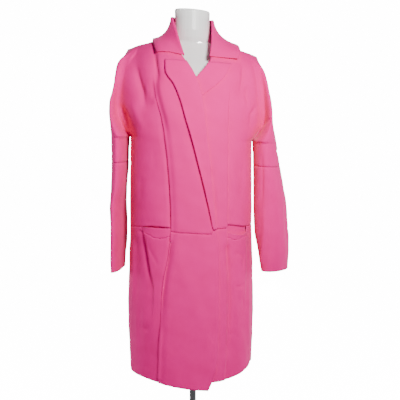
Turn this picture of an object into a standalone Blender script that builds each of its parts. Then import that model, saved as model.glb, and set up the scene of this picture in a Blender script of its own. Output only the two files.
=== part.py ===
# A long notch-collared knit cardigan, worn by a limbless dress form on a round stand.
#
# Metres, +Z up. The origin is on the floor, on the axis of the stand's pole. The front faces -Y,
# so the wearer's right is at -X. The cloth is a wall of even thickness through horizontal
# sections: above the underarm one wide loop holds the body and both upper sleeves, and below it
# the loop parts into the body and two sleeves. Each panel is an open grid of points on those
# sections, thickened by Solidify. Heights in the tables are those of a level stance, and lean()
# then lowers the wearer's left shoulder.

import math

import bmesh
import bpy
import numpy as np
from mathutils import Vector
from mathutils.bvhtree import BVHTree

COLLECTION_NAME = "cardigan_on_dress_form"

CLOTH = 0.002             # wall of the knit
SEAM_GAP = 0.0004         # clear space between sewn pieces
ROUND_SEAM_GAP = 0.0007   # the same at mid wall, where front and back meet round a curve
LAYER = 0.0036            # one layer lying on another, middle to middle

NECK_POINT_HEIGHT = 1.385
NECK_POINT_OUT = 0.062
BACK_NECK_DIP = 0.014
BACK_NECK_DEPTH = 0.066
SHOULDER_CAP = 0.100      # height over which the cloth rounds over the shoulder
RIDGE_DEPTH = 0.008       # the shoulder seam lies this far behind the middle plane
TIP_REACH = 0.012         # near the shoulder's tip the round seam gap widens
TIP_WIDENING = 1.5
NOTCH_HEIGHT = 1.3225     # top edge of both lapels
UNDERARM_HEIGHT = 1.113
ELBOW_SEAM_HEIGHT = 1.045
WAIST_SEAM_HEIGHT = 0.868
PLEAT_STEP = 0.0035       # how far the middle of the front stands over its sides
PLEAT_WIDTH = 0.008       # over which it steps
PLEAT_TOP = 1.30          # the pleat grows from nothing here
PLEAT_GROWTH = 0.12       # to its full step this far below
SECOND_LAYER_HEIGHT = 1.11  # above it the right front lies on the left lapel too
SECOND_LAYER_RISE = 0.06
LAP_WIDTH = 0.016         # over which the right front climbs onto the left one
LAP_START = 0.004
FOLD_FALL = 1.5           # how fast a fold dies out beside its line
SIDE_FADE_OUT = 0.168     # folds of the skirt have died out here, before the side seam
SIDE_FADE_WIDTH = 0.012
SLEEVE_FADE = 0.1         # and those of the bodice before its side line, in columns
POCKET_BAND_TALL = 0.026
POCKET_GAPE = {"right": 0.0040, "left": 0.0080}
GAPE_FALL = 0.055         # the skirt follows the leaning mouth down to about here
GAPE_ROUND = 0.8
DRAPE_START = 0.03        # below the band, the hanging cloth has its full depth here
DRAPE_LENGTH = 0.24
DRAPE_END = 0.12          # the last stretch, over which it dies out
DRAPE_EDGE = 0.010

PINK = (0.81, 0.15, 0.35)
WHITE = (0.86, 0.86, 0.85)
STEEL = (0.33, 0.33, 0.34)
KNIT_ROUGHNESS = 0.85
GLOSS_ROUGHNESS = 0.2
STEEL_ROUGHNESS = 0.33
SMOOTH_ANGLE = 50         # degrees; sharper edges of the cloth stay sharp
FORM_SMOOTH_ANGLE = 40


def table(columns, *rows):
    """A short table with named columns, given a row at a time."""
    return {name: np.array(values, float) for name, values in zip(columns.split(), zip(*rows))}


BODY = table(
    "height half_width middle front back square",
    (0.420, 0.174, -0.0070, 0.136, 0.113, 2.5),
    (0.520, 0.177, -0.0060, 0.137, 0.118, 2.5),
    (0.650, 0.179, -0.0055, 0.136, 0.121, 2.5),
    (0.780, 0.175, -0.0050, 0.133, 0.115, 2.5),
    (0.868, 0.171, -0.0050, 0.130, 0.106, 2.5),
    (0.950, 0.171, -0.0040, 0.129, 0.100, 2.5),
    (1.040, 0.170, -0.0040, 0.130, 0.100, 2.5),
    (1.113, 0.169, -0.0035, 0.130, 0.102, 2.5),
    (1.123, 0.177, -0.0035, 0.130, 0.102, 2.35),
    (1.143, 0.190, -0.0030, 0.129, 0.103, 2.15),
    (1.173, 0.205, -0.0030, 0.127, 0.104, 2.0),
    (1.213, 0.211, -0.0030, 0.122, 0.104, 2.0),
    (1.263, 0.210, -0.0020, 0.114, 0.102, 2.1),
    (1.313, 0.201, -0.0020, 0.104, 0.097, 2.3),
    (1.350, 0.176, -0.0020, 0.096, 0.092, 2.5),
    (1.400, 0.168, -0.0020, 0.088, 0.086, 2.5),
)

# Where the body turns into the sleeve: the angle round the body at which its part of the section
# ends, the width of the web that follows, and the angle round the arm at which the sleeve starts.
TROUGH = table(
    "height body_angle web dip arm_angle",
    (1.1130, 90.0, 0.0045, 0.0000, 0.0),
    (1.1135, 89.0, 0.0045, 0.0002, 1.5),
    (1.1165, 86.5, 0.0046, 0.0010, 5.0),
    (1.1230, 83.0, 0.0050, 0.0022, 10.0),
    (1.1430, 77.0, 0.0070, 0.0040, 24.0),
    (1.1730, 71.0, 0.0100, 0.0050, 38.0),
    (1.2130, 65.0, 0.0120, 0.0045, 52.0),
    (1.2630, 60.0, 0.0130, 0.0030, 66.0),
    (1.3130, 57.0, 0.0140, 0.0010, 76.0),
    (1.3600, 55.0, 0.0140, 0.0000, 84.0),
)

# Sections of the arms: the middle's distance out from the body's plane and its depth, half the
# long and the thin way across, and the turn of the long way, front end outward.
ARMS = {
    "right": table(
        "height out depth long thin turn",
        (0.742, 0.2140, -0.012, 0.058, 0.0107, 11.0),
        (0.800, 0.2110, -0.010, 0.067, 0.0119, 10.0),
        (0.860, 0.2085, -0.008, 0.074, 0.0123, 9.0),
        (0.930, 0.2105, -0.005, 0.079, 0.0164, 9.0),
        (0.980, 0.2070, -0.004, 0.083, 0.0205, 7.0),
        (1.045, 0.2030, -0.002, 0.085, 0.0245, 6.0),
        (1.113, 0.2015, 0.000, 0.085, 0.0245, 5.0),
        (1.158, 0.2000, 0.002, 0.083, 0.0260, 4.0),
        (1.207, 0.1970, 0.004, 0.080, 0.0280, 3.0),
        (1.239, 0.1860, 0.005, 0.078, 0.0270, 2.0),
        (1.305, 0.1720, 0.008, 0.072, 0.0290, 0.0),
        (1.350, 0.1500, 0.010, 0.060, 0.0280, 0.0),
    ),
    "left": table(
        "height out depth long thin turn",
        (0.742, 0.2350, -0.018, 0.048, 0.0265, -47.0),
        (0.800, 0.2305, -0.016, 0.052, 0.0380, -39.0),
        (0.860, 0.2235, -0.014, 0.056, 0.0440, -30.0),
        (0.930, 0.2190, -0.012, 0.060, 0.0445, -20.0),
        (0.980, 0.2150, -0.010, 0.066, 0.0410, -14.0),
        (1.045, 0.2090, -0.006, 0.074, 0.0370, -8.0),
        (1.113, 0.2030, -0.002, 0.080, 0.0330, -4.0),
        (1.179, 0.1940, 0.002, 0.080, 0.0290, -3.0),
        (1.230, 0.1880, 0.004, 0.077, 0.0290, -2.0),
        (1.263, 0.1810, 0.006, 0.074, 0.0280, -1.0),
        (1.296, 0.1720, 0.008, 0.070, 0.0280, 0.0),
        (1.350, 0.1520, 0.010, 0.058, 0.0280, 0.0),
    ),
}

SHOULDER_LINE = table(
    "out height",
    (0.062, 1.385),
    (0.093, 1.379),
    (0.120, 1.3705),
    (0.150, 1.3605),
    (0.179, 1.350),
)

LEAN = table("height slope", (0.95, 0.0), (1.045, 0.03), (1.113, 0.041), (1.35, 0.06), (1.46, 0.085))

# The inner edge of each front: neckline, then the roll line of the lapel, then the free edge.
EDGE = {
    "right": table(
        "height x",
        (0.420, 0.0390),
        (0.4266, 0.0423),
        (0.452, 0.0530),
        (0.489, 0.0625),
        (0.530, 0.0690),
        (0.700, 0.0710),
        (0.825, 0.0705),
        (0.868, 0.0625),
        (0.982, 0.0506),
        (1.051, 0.0452),
        (1.146, 0.0345),
        (1.230, 0.0240),
        (1.275, 0.0108),
        (1.330, -0.0214),
        (1.360, -0.0440),
        (1.386, -0.0620),
    ),
    "left": table(
        "height x",
        (0.420, -0.040),
        (1.100, -0.042),
        (1.165, -0.040),
        (1.200, -0.030),
        (1.275, 0.0108),
        (1.326, 0.0480),
        (1.360, 0.0570),
        (1.386, 0.0620),
    ),
}

# The outer edge of each turned lapel, from its corner at the notch to where it ends.
LAPEL = {
    "right": table(
        "height x",
        (0.868, 0.0560),
        (0.955, 0.0392),
        (1.034, 0.0214),
        (1.118, 0.0003),
        (1.178, -0.0172),
        (1.216, -0.0277),
        (1.258, -0.0452),
        (1.293, -0.0678),
        (1.323, -0.0691),
    ),
    "left": table(
        "height x",
        (1.165, -0.0380),
        (1.200, -0.0060),
        (1.230, 0.0245),
        (1.285, 0.0849),
        (1.323, 0.1041),
    ),
}

# The pressed pleat of each front, which goes on below the waist as a fold.
PLEAT = {
    "right": table(
        "height x",
        (0.420, -0.0950),
        (0.600, -0.0860),
        (0.704, -0.0816),
        (0.868, -0.0566),
        (0.950, -0.0580),
        (1.050, -0.0635),
        (1.117, -0.0700),
        (1.167, -0.0790),
        (1.238, -0.0975),
        (1.386, -0.1100),
    ),
    "left": table(
        "height x",
        (0.420, 0.0860),
        (0.600, 0.0950),
        (0.868, 0.0940),
        (1.172, 0.0953),
        (1.386, 0.1100),
    ),
}

# Hem heights along x: the wearer's right front hangs lowest at its free corner.
HEM = {
    "right": table("x height", (-0.20, 0.459), (-0.15, 0.456), (-0.09, 0.446), (-0.01, 0.434), (0.06, 0.427)),
    "left": table("x height", (-0.06, 0.446), (0.05, 0.450), (0.13, 0.461), (0.15, 0.470), (0.20, 0.480)),
    "back": table("x height", (-0.20, 0.459), (0.0, 0.466), (0.20, 0.480)),
}

# Soft folds of the fronts: two ends, half width and depth, negative inward.
FOLDS = table(
    "x0 z0 x1 z1 half_width depth",
    (-0.157, 1.325, -0.126, 1.205, 0.024, -0.006),
    (-0.100, 1.345, -0.088, 1.270, 0.014, -0.003),
    (-0.216, 1.222, -0.166, 1.140, 0.028, -0.010),
    (0.140, 1.318, 0.137, 1.245, 0.022, -0.004),
    (0.178, 1.320, 0.196, 1.170, 0.016, -0.005),
    (0.092, 0.810, 0.096, 0.540, 0.022, -0.005),
)

# The collar's roll and outer edge, along each half from its front end (0) to the middle back (1).
COLLAR = {
    "roll": table(
        "along out depth height shift room",
        (0.00, 0.0345, -0.0905, 1.3380, 0.0133, 0.0018),
        (0.20, 0.0425, -0.0680, 1.3720, 0.0100, 0.0025),
        (0.36, 0.0490, -0.0400, 1.4100, 0.0050, 0.0030),
        (0.50, 0.0550, -0.0020, 1.4420, 0.0, 0.0030),
        (0.70, 0.0470, 0.0460, 1.4470, 0.0, 0.0030),
        (0.85, 0.0255, 0.0625, 1.4490, 0.0, 0.0030),
        (0.95, 0.0085, 0.0678, 1.4500, 0.0, 0.0030),
        (1.00, 0.0, 0.0685, 1.4500, 0.0, 0.0030),
    ),
    "outer": table(
        "along out depth height shift room",
        (0.00, 0.1065, -0.0730, 1.3370, 0.0170, 0.0),
        (0.20, 0.1160, -0.0560, 1.3560, 0.0140, 0.0),
        (0.36, 0.1185, -0.0270, 1.3720, 0.0100, 0.0),
        (0.50, 0.1120, 0.0080, 1.3820, 0.0060, 0.0),
        (0.70, 0.0840, 0.0560, 1.3710, 0.0, 0.0),
        (0.85, 0.0450, 0.0800, 1.3625, 0.0, 0.0),
        (0.95, 0.0150, 0.0880, 1.3602, 0.0, 0.0),
        (1.00, 0.0, 0.0888, 1.3600, 0.0, 0.0),
    ),
}
COLLAR_STEPS = (0.0, 0.04, 0.12, 0.20, 0.28, 0.36, 0.43, 0.50, 0.57, 0.64, 0.72, 0.81, 0.90, 1.0)
COLLAR_FRONT = 0.5          # where along it the collar passes the shoulder's neck point
COLLAR_END_HEIGHT = 1.334
COLLAR_INSET = 0.0023       # how far the collar's seam lies inside the neckline
COLLAR_STAND = 0.0016       # how much more than a layer the turned collar stands off the panels
COLLAR_REACH = 0.015        # it is cleared of panels that are nearer than this
COLLAR_CLEARINGS = 2
COLLAR_END_FORWARD = 0.0035 # how far the roll lies before the seam at the collar's ends
COLLAR_BEND = (0.14, 0.14, 0.78)          # the fall's middle, from the roll (0) to the outer edge (1)
COLLAR_FALL_STEPS = (0.25, 0.5, 0.75, 1.0)
SEAM_SAMPLES = 60
BODY_CENTRE = (0.0, 0.0, 1.25)

# The dress form's sections, from its flat underside to the flat top of its neck.
FORM = table(
    "height half_width depth front back square",
    (0.790, 0.080, 0.005, 0.055, 0.060, 2.0),
    (0.795, 0.120, 0.005, 0.080, 0.085, 2.1),
    (0.815, 0.145, 0.005, 0.096, 0.098, 2.2),
    (0.850, 0.153, 0.004, 0.104, 0.100, 2.2),
    (0.900, 0.148, 0.002, 0.104, 0.094, 2.2),
    (0.970, 0.128, 0.000, 0.096, 0.084, 2.1),
    (1.030, 0.119, 0.000, 0.092, 0.080, 2.1),
    (1.090, 0.126, 0.000, 0.100, 0.084, 2.1),
    (1.150, 0.142, 0.000, 0.112, 0.090, 2.1),
    (1.200, 0.152, 0.002, 0.112, 0.090, 2.1),
    (1.250, 0.160, 0.004, 0.104, 0.088, 2.1),
    (1.290, 0.163, 0.006, 0.092, 0.082, 2.1),
    (1.315, 0.164, 0.007, 0.078, 0.072, 2.0),
    (1.335, 0.161, 0.008, 0.064, 0.060, 1.9),
    (1.350, 0.152, 0.008, 0.054, 0.052, 1.8),
    (1.361, 0.136, 0.008, 0.047, 0.047, 1.7),
    (1.3705, 0.115, 0.008, 0.042, 0.044, 1.65),
    (1.3755, 0.090, 0.008, 0.041, 0.042, 1.65),
    (1.380, 0.058, 0.008, 0.042, 0.041, 1.8),
    (1.390, 0.0535, 0.007, 0.045, 0.046, 1.95),
    (1.410, 0.050, 0.006, 0.047, 0.050, 2.0),
    (1.440, 0.0480, 0.006, 0.046, 0.050, 2.0),
    (1.462, 0.0485, 0.006, 0.046, 0.050, 2.0),
    (1.465, 0.0470, 0.006, 0.0445, 0.0485, 2.0),
)
FORM_SIDES = 32
POLE_RADIUS = 0.0095
SOCKET_TOP = 0.060
SOCKET_RADIUS = 0.016
BASE_RADIUS = 0.170
BASE_THICK = 0.010
BASE_EDGE = 0.003           # bevel round the rim
SOCKET_FOOT = (0.006, 0.004)  # flare where the socket meets the base: out and up
POLE_SIDES = 24
BASE_SIDES = 48

SHOULDER_DROPS = (0.0, 0.003, 0.009, 0.018, 0.030, 0.045, 0.0625, 0.085, 0.112, 0.142, 0.172, 0.202,
                  0.229, 0.249, 0.262, 0.2685, 0.2715, 0.272)
BODICE_ROWS = (1.090, 1.068, ELBOW_SEAM_HEIGHT + SEAM_GAP / 2, 1.010, 0.970, 0.930, 0.895,
               WAIST_SEAM_HEIGHT + SEAM_GAP / 2)
SKIRT_ROWS = (0.0, 0.062, 0.15, 0.25, 0.36, 0.47, 0.58, 0.69, 0.80, 0.90, 0.965, 1.0)
POCKET_SAG = {"right": 0.001, "left": 0.009}
POCKET_DEEP = 0.110
POCKET_PLY = 0.0042       # the pocket's back lies this far in from the front, middle to middle
POCKET_SINK = 0.0065      # and further in below the mouth
POCKET_TOP = 0.010        # it starts this far above the waist seam
BAND_INSET = 0.022        # ends of band and back, in parts of the mouth
BACK_INSET = 0.06
# Columns from the inner edge (0) over the pleat (1) to the body's side (2), and on over the sleeve.
FRONT_COLUMNS = (0.0, 0.2, 0.4, 0.6, 0.8, 0.955, 1.0, 1.045, 1.25, 1.5, 1.75, 1.93, 2.0)
# The skirt's fronts have one more line, the pocket's outer end (2), before the side (3).
SKIRT_COLUMNS = (0.0, 0.2, 0.4, 0.6, 0.8, 0.955, 1.0, 1.07, 1.22, 1.4, 1.58, 1.75, 1.9, 2.0, 2.15, 2.5,
                 2.88, 3.0)
BACK_COLUMNS = (0.0, 0.2, 0.4, 0.6, 0.8, 1.0, 1.25, 1.5, 1.75, 1.92, 2.0)
FRONT_TOP_OUT = (0.062, 0.110, 0.150)
BACK_TOP_OUT = (0.0, 0.062, 0.150)
SLEEVE_STEPS = (0.0, 0.14, 0.30, 0.46, 0.62, 0.76, 0.88, 0.965, 1.0)
TOP_WEB = 0.003           # the web's width where it starts at the shoulder
OVERARM_CROWDING = 0.7    # how much closer the sleeve's columns stand at the overarm's top
BODY_SETTLE = 0.12        # below the shoulder by this much, columns have moved onto their lines
SLEEVE_SETTLE = 0.05
LAPEL_STEPS = (0.0, 0.08, 0.36, 0.68, 1.0)
SLEEVE_SIDES = 20
SLEEVE_ROWS = 10
CUFF_HEIGHT = 0.742
# The pocket's outer end, and below it the fold that hangs from there.
POCKET_END = {
    "right": table("height x", (0.42, -0.128), (0.60, -0.112), (0.70, -0.104), (0.830, -0.138), (0.87, -0.138)),
    "left": table("height x", (0.42, 0.142), (0.83, 0.150), (0.87, 0.150)),
}
POCKET_DRAPE = {"right": 0.006, "left": 0.003}   # how far the cloth hanging from a pocket stands out
BACK_NECK_LINE = table("height out", (0.42, 0.085), (1.2, 0.080), (1.386, 0.064))
LAPEL_STAND = {
    "right": table("height stand", (0.868, 0.001), (0.93, 0.005), (1.05, 0.006), (1.20, 0.004), (1.323, 0.002)),
    "left": table("height stand", (1.16, 0.0), (1.25, 0.001), (1.323, 0.003)),
}
SIDES = {"right": -1, "left": 1}


def smooth_curve(xs, ys, x):
    """A smooth curve through the points (xs, ys) that never overshoots them."""
    steps = np.diff(xs)
    slopes = np.diff(ys) / steps
    tangents = np.empty(len(xs))
    tangents[0] = slopes[0]
    tangents[-1] = slopes[-1]
    for i in range(1, len(xs) - 1):
        before, after = slopes[i - 1], slopes[i]
        tangents[i] = 0.0 if before * after <= 0 else 2 * before * after / (before + after)
    x = np.clip(x, xs[0], xs[-1])
    i = np.clip(np.searchsorted(xs, x, side="right") - 1, 0, len(xs) - 2)
    t = (x - xs[i]) / steps[i]
    start = (1 + 2 * t) * (1 - t) ** 2 * ys[i] + t * (1 - t) ** 2 * steps[i] * tangents[i]
    end = t * t * (3 - 2 * t) * ys[i + 1] + t * t * (t - 1) * steps[i] * tangents[i + 1]
    return start + end


def read(values, column, at, key="height"):
    return smooth_curve(values[key], values[column], at)


def smooth_step(t):
    t = np.clip(t, 0.0, 1.0)
    return t * t * (3 - 2 * t)


def lean(points):
    """Lower the wearer's left and raise the right, more and more towards the neck."""
    points = np.array(points, float)
    points[..., 2] -= points[..., 0] * read(LEAN, "slope", points[..., 2])
    return points


def body_xy(angle, height):
    """A point of the body's section. Angle 0 is the middle front and +90 degrees the left side."""
    power = 2 / read(BODY, "square", height)
    sine, cosine = np.sin(angle), np.cos(angle)
    depth = np.where(cosine > 0, read(BODY, "front", height), read(BODY, "back", height))
    x = read(BODY, "middle", height) + read(BODY, "half_width", height) * np.sign(sine) * abs(sine) ** power
    y = -depth * np.sign(cosine) * abs(cosine) ** power
    return x, y


def body_angle(x, height):
    """The angle round the front at which the body's section passes x."""
    ratio = (x - read(BODY, "middle", height)) / read(BODY, "half_width", height)
    ratio = np.clip(ratio, -1, 1)
    return np.arcsin(np.sign(ratio) * abs(ratio) ** (read(BODY, "square", height) / 2))


def arm_xy(side, around, height):
    """A point of a sleeve's section. Around is 0 at the body's side, a quarter turn at the front."""
    arm = ARMS[side]
    turn = np.radians(read(arm, "turn", height))
    thin = -read(arm, "thin", height) * np.cos(around)
    long = -read(arm, "long", height) * np.sin(around)
    out = read(arm, "out", height) + thin * np.cos(turn) - long * np.sin(turn)
    y = read(arm, "depth", height) + thin * np.sin(turn) + long * np.cos(turn)
    return SIDES[side] * out, y


def shoulder_height(out):
    """Height of the seam line over the shoulder, and of the back's neckline inside it."""
    neckline = NECK_POINT_HEIGHT - BACK_NECK_DIP * (1 - np.clip(out / NECK_POINT_OUT, 0, 1) ** 2)
    return np.where(out < NECK_POINT_OUT, neckline, read(SHOULDER_LINE, "height", out, "out"))


def row_height(drop, out_at_top):
    """Height of a grid row: along the shoulder line at the top, level at the underarm."""
    slope_left = 1 - smooth_step(drop / SHOULDER_DROPS[-1])
    return NECK_POINT_HEIGHT - drop - (NECK_POINT_HEIGHT - shoulder_height(out_at_top)) * slope_left


def round_over(x, y, height, back):
    """Bring a section's depth in to the shoulder seam, or to the back's neckline."""
    out = abs(x) if back else np.maximum(abs(x), NECK_POINT_OUT)
    inside = np.clip(1 - (out / NECK_POINT_OUT) ** 2, 0, 1)
    top_y = RIDGE_DEPTH + (BACK_NECK_DEPTH - RIDGE_DEPTH) * np.sqrt(inside)
    fall = np.clip((shoulder_height(out) - height) / SHOULDER_CAP, 0, 1)
    return top_y + (y - top_y) * np.sqrt(1 - (1 - fall) ** 2)


def section_grid(side, heights, positions, back):
    """Points of one half of the body's section, for columns placed between the named lines."""
    sign = SIDES[side]
    trough = np.radians(np.where(heights < UNDERARM_HEIGHT, 90.0, read(TROUGH, "body_angle", heights)))
    if back:
        inner = np.zeros_like(heights)
        neck_x = read(BODY, "middle", heights) + sign * read(BACK_NECK_LINE, "out", heights)
        middle = body_angle(neck_x, heights)
    else:
        inner = body_angle(read(EDGE[side], "x", heights), heights)
        middle = body_angle(read(PLEAT[side], "x", heights), heights)
    lines = [inner, middle, sign * trough]
    angle = lines[0] + (lines[1] - lines[0]) * np.clip(positions, 0, 1)
    angle = angle + (lines[2] - lines[1]) * np.clip(positions - 1, 0, 1)
    if back:
        angle = sign * math.pi - angle
    x, y = body_xy(angle, heights)
    return x, y, angle


def sleeve_grid(side, heights, back, steps):
    """The web beside the body and one half of the sleeve's section, out to the overarm."""
    sign = SIDES[side]
    outward = -1 if back else 1
    trough = np.radians(read(TROUGH, "body_angle", heights))
    body_end = sign * (math.pi - trough if back else trough)
    body_x, body_y = body_xy(body_end, heights)
    web = read(TROUGH, "web", heights)
    start = np.radians(read(TROUGH, "arm_angle", heights))
    around = start + (math.pi - start) * steps
    x, y = arm_xy(side, outward * around, heights)
    first_x, first_y = arm_xy(side, outward * start, heights)
    joined = heights >= UNDERARM_HEIGHT - 1e-6
    hold = (1 - smooth_step(steps)) * joined
    x = x + (body_x + sign * web - first_x) * hold
    y = y + (body_y - first_y) * hold
    web_x = (body_x + sign * web / 2)[:, :1]
    web_y = (body_y + outward * read(TROUGH, "dip", heights))[:, :1]
    return np.hstack([web_x, x]), np.hstack([web_y, y])


def line_distance(x, z, x0, z0, x1, z1):
    length_squared = (x1 - x0) ** 2 + (z1 - z0) ** 2
    along = np.clip(((x - x0) * (x1 - x0) + (z - z0) * (z1 - z0)) / length_squared, 0, 1)
    return np.hypot(x - x0 - along * (x1 - x0), z - z0 - along * (z1 - z0))


def front_relief(side, x, z):
    """How far a front stands out from its section: the pleat's step, the folds, the layer below."""
    sign = SIDES[side]
    inward = -sign * (x - read(PLEAT[side], "x", z))
    pleat = PLEAT_STEP * smooth_step((PLEAT_TOP - z) / PLEAT_GROWTH)
    pleat = pleat * smooth_step((inward + PLEAT_WIDTH / 2) / PLEAT_WIDTH)
    relief = pleat + pocket_gape(side, x, z) + pocket_drape(side, x, z)
    for x0, z0, x1, z1, half_width, depth in zip(*FOLDS.values()):
        distance = line_distance(x, z, x0, z0, x1, z1)
        relief = relief + depth * np.exp(-FOLD_FALL * (distance / half_width) ** 2)
    if side == "right":
        layers = 1 + smooth_step((z - SECOND_LAYER_HEIGHT) / SECOND_LAYER_RISE)
        relief = relief + LAYER * layers * smooth_step((inward - LAP_START) / LAP_WIDTH)
    return relief


def pocket_gape(side, x, z):
    """The pocket's mouth leans out in its middle, and the skirt below it follows."""
    inner = read(PLEAT[side], "x", z)
    across = np.clip((x - inner) / (read(POCKET_END[side], "x", z) - inner), 0, 1)
    below = WAIST_SEAM_HEIGHT - z
    reach = np.where(below > 0, np.exp(-below / GAPE_FALL), 0.0)
    return POCKET_GAPE[side] * np.sin(math.pi * across) ** GAPE_ROUND * reach


def pocket_drape(side, x, z):
    """Cloth hanging from the pocket, proud of the side with a fold between them."""
    inward = -SIDES[side] * (x - read(POCKET_END[side], "x", z))
    below = WAIST_SEAM_HEIGHT - POCKET_BAND_TALL - z
    reach = smooth_step(below / DRAPE_START) * smooth_step((DRAPE_LENGTH - below) / DRAPE_END)
    return POCKET_DRAPE[side] * reach * (smooth_step((inward + 0.4 * DRAPE_EDGE) / DRAPE_EDGE) - 1)


def stand_out(x, y, angle, heights, relief):
    """Move points of the body's section out along its level normal."""
    power = 2 - 2 / read(BODY, "square", heights)
    sine, cosine = np.sin(angle), np.cos(angle)
    depth = np.where(cosine > 0, read(BODY, "front", heights), read(BODY, "back", heights))
    nx = np.sign(sine) * abs(sine) ** power / read(BODY, "half_width", heights)
    ny = -np.sign(cosine) * abs(cosine) ** power / depth
    length = np.hypot(nx, ny)
    return x + relief * nx / length, y + relief * ny / length


def front_points(side, x, heights, lift=0.0):
    """Points of a front at given x and height, lifted off its surface."""
    angle = body_angle(x, heights)
    section_x, section_y = body_xy(angle, heights)
    section_y = round_over(section_x, section_y, heights, False)
    relief = front_relief(side, x, heights) + lift
    px, py = stand_out(section_x, section_y, angle, heights, relief)
    return np.stack([px, py - ROUND_SEAM_GAP / 2, heights], axis=-1)


def lapel_grid(side, heights):
    """The turned lapel: over its roll at the front's inner edge and out to its free edge."""
    sign = SIDES[side]
    roll = read(EDGE[side], "x", heights)[:, None]
    outer = read(LAPEL[side], "x", heights)[:, None]
    level = heights[:, None]
    across = np.array(LAPEL_STEPS)[None, :]
    x = roll + (outer - roll) * across
    stand = read(LAPEL_STAND[side], "stand", level)
    lift = LAYER + stand * across ** 1.5
    flap = front_points(side, x, level + 0 * x, lift)
    rim = front_points(side, roll, level, LAYER / 2)
    rim[..., 0] -= sign * LAYER / 2
    return np.concatenate([flap[:, ::-1], rim], axis=1)


def cloth_piece(name, points, keep):
    """A grid of points, with the cells that keep allows, thickened about its middle."""
    rows, columns = points.shape[:2]
    numbers = {}
    vertices = []
    faces = []
    for r in range(rows - 1):
        for c in range(columns - 1):
            if not keep[r, c]:
                continue
            corners = ((r, c), (r + 1, c), (r + 1, c + 1), (r, c + 1))
            for corner in corners:
                if corner not in numbers:
                    numbers[corner] = len(vertices)
                    vertices.append(tuple(points[corner]))
            faces.append([numbers[corner] for corner in corners])
    mesh = bpy.data.meshes.new(name)
    mesh.from_pydata(vertices, [], faces)
    merge_seam(mesh)
    mesh.materials.append(finish(name, PINK, KNIT_ROUGHNESS))
    mesh.shade_smooth()
    mesh.set_sharp_from_angle(angle=math.radians(SMOOTH_ANGLE))
    obj = add_object(name, mesh)
    solid = obj.modifiers.new("Cloth wall", "SOLIDIFY")
    solid.thickness = CLOTH
    solid.offset = 0.0
    shading = obj.modifiers.new("Even shading", "WEIGHTED_NORMAL")
    shading.keep_sharp = True
    return obj


def merge_seam(mesh):
    """Close a tube's grid where its last column meets its first."""
    edit = bmesh.new()
    edit.from_mesh(mesh)
    bmesh.ops.remove_doubles(edit, verts=edit.verts, dist=1e-6)
    edit.to_mesh(mesh)
    edit.free()


def add_object(name, mesh):
    obj = bpy.data.objects.new(name, mesh)
    bpy.data.collections[COLLECTION_NAME].objects.link(obj)
    return obj


def finish(name, colour, roughness, metallic=0.0):
    material = bpy.data.materials.new(name)
    material.use_nodes = True
    shader = material.node_tree.nodes["Principled BSDF"]
    shader.inputs["Base Color"].default_value = (*colour, 1.0)
    shader.inputs["Roughness"].default_value = roughness
    shader.inputs["Metallic"].default_value = metallic
    return material


def upper_heights(top_out):
    """Heights of the rows from the shoulder to the waist, for columns that start at top_out."""
    drops = np.array(SHOULDER_DROPS)[:, None]
    upper = row_height(drops, top_out[None, :])
    lower = np.array(BODICE_ROWS)[:, None] + 0 * top_out[None, :]
    return np.vstack([upper, lower])


def half_bodice(side, back):
    """One half of the upper garment: body, web and sleeve, and which of its cells are cloth."""
    positions = np.array(BACK_COLUMNS if back else FRONT_COLUMNS)
    lines = BACK_TOP_OUT if back else FRONT_TOP_OUT
    body_top = np.interp(positions, (0, 1, 2), lines)
    if back:
        round_neck = np.sin(np.clip(positions, 0, 1) * math.pi / 2)
        body_top = np.where(positions < 1, lines[1] * round_neck, body_top)
    steps = np.array(SLEEVE_STEPS)
    crowded = steps + OVERARM_CROWDING * (np.sin(steps * math.pi / 2) - steps)
    sleeve_top = lines[-1] + TOP_WEB + (SHOULDER_LINE["out"][-1] - lines[-1] - TOP_WEB) * crowded
    body_columns = len(positions)
    top_out = np.concatenate([body_top, sleeve_top[:1] - TOP_WEB / 2, sleeve_top])
    heights = upper_heights(top_out)
    body_x, body_y, angle = section_grid(side, heights[:, :body_columns], positions, back)
    sleeve_x, sleeve_y = sleeve_grid(side, heights[:, body_columns + 1:], back, steps)
    x = np.hstack([body_x, sleeve_x])
    drops = np.array(SHOULDER_DROPS)[:, None]
    settled = np.where(np.arange(len(top_out)) < body_columns, BODY_SETTLE, SLEEVE_SETTLE)
    x[:len(drops)] += (SIDES[side] * top_out - x[0]) * (1 - smooth_step(drops / settled))
    y = round_over(x, np.hstack([body_y, sleeve_y]), heights, back)
    if not back:
        fade = np.zeros(len(top_out))
        fade[:body_columns] = smooth_step((2.0 - positions) / SLEEVE_FADE)
        relief = front_relief(side, x, heights) * fade
        all_angle = np.pad(angle, ((0, 0), (0, len(top_out) - body_columns)), mode="edge")
        x, y = stand_out(x, y, all_angle, heights, relief)
    shoulder_tip = np.hypot(abs(x) - SHOULDER_LINE["out"][-1], heights - SHOULDER_LINE["height"][-1])
    gap = ROUND_SEAM_GAP * (1 + TIP_WIDENING * smooth_step(1.5 - shoulder_tip / TIP_REACH))
    y += gap / 2 if back else -gap / 2
    points = np.stack([x, y, heights], axis=-1)
    row_top = points[:-1, :, 2].min(axis=1)
    keep = np.ones((points.shape[0] - 1, points.shape[1] - 1), bool)
    body_cells = body_columns - 1
    keep[:, body_cells:body_cells + 2] = (row_top > UNDERARM_HEIGHT + 1e-4)[:, None]
    keep[:, body_cells + 2:] = (row_top > ELBOW_SEAM_HEIGHT + 0.01)[:, None]
    return points, keep, heights


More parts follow.
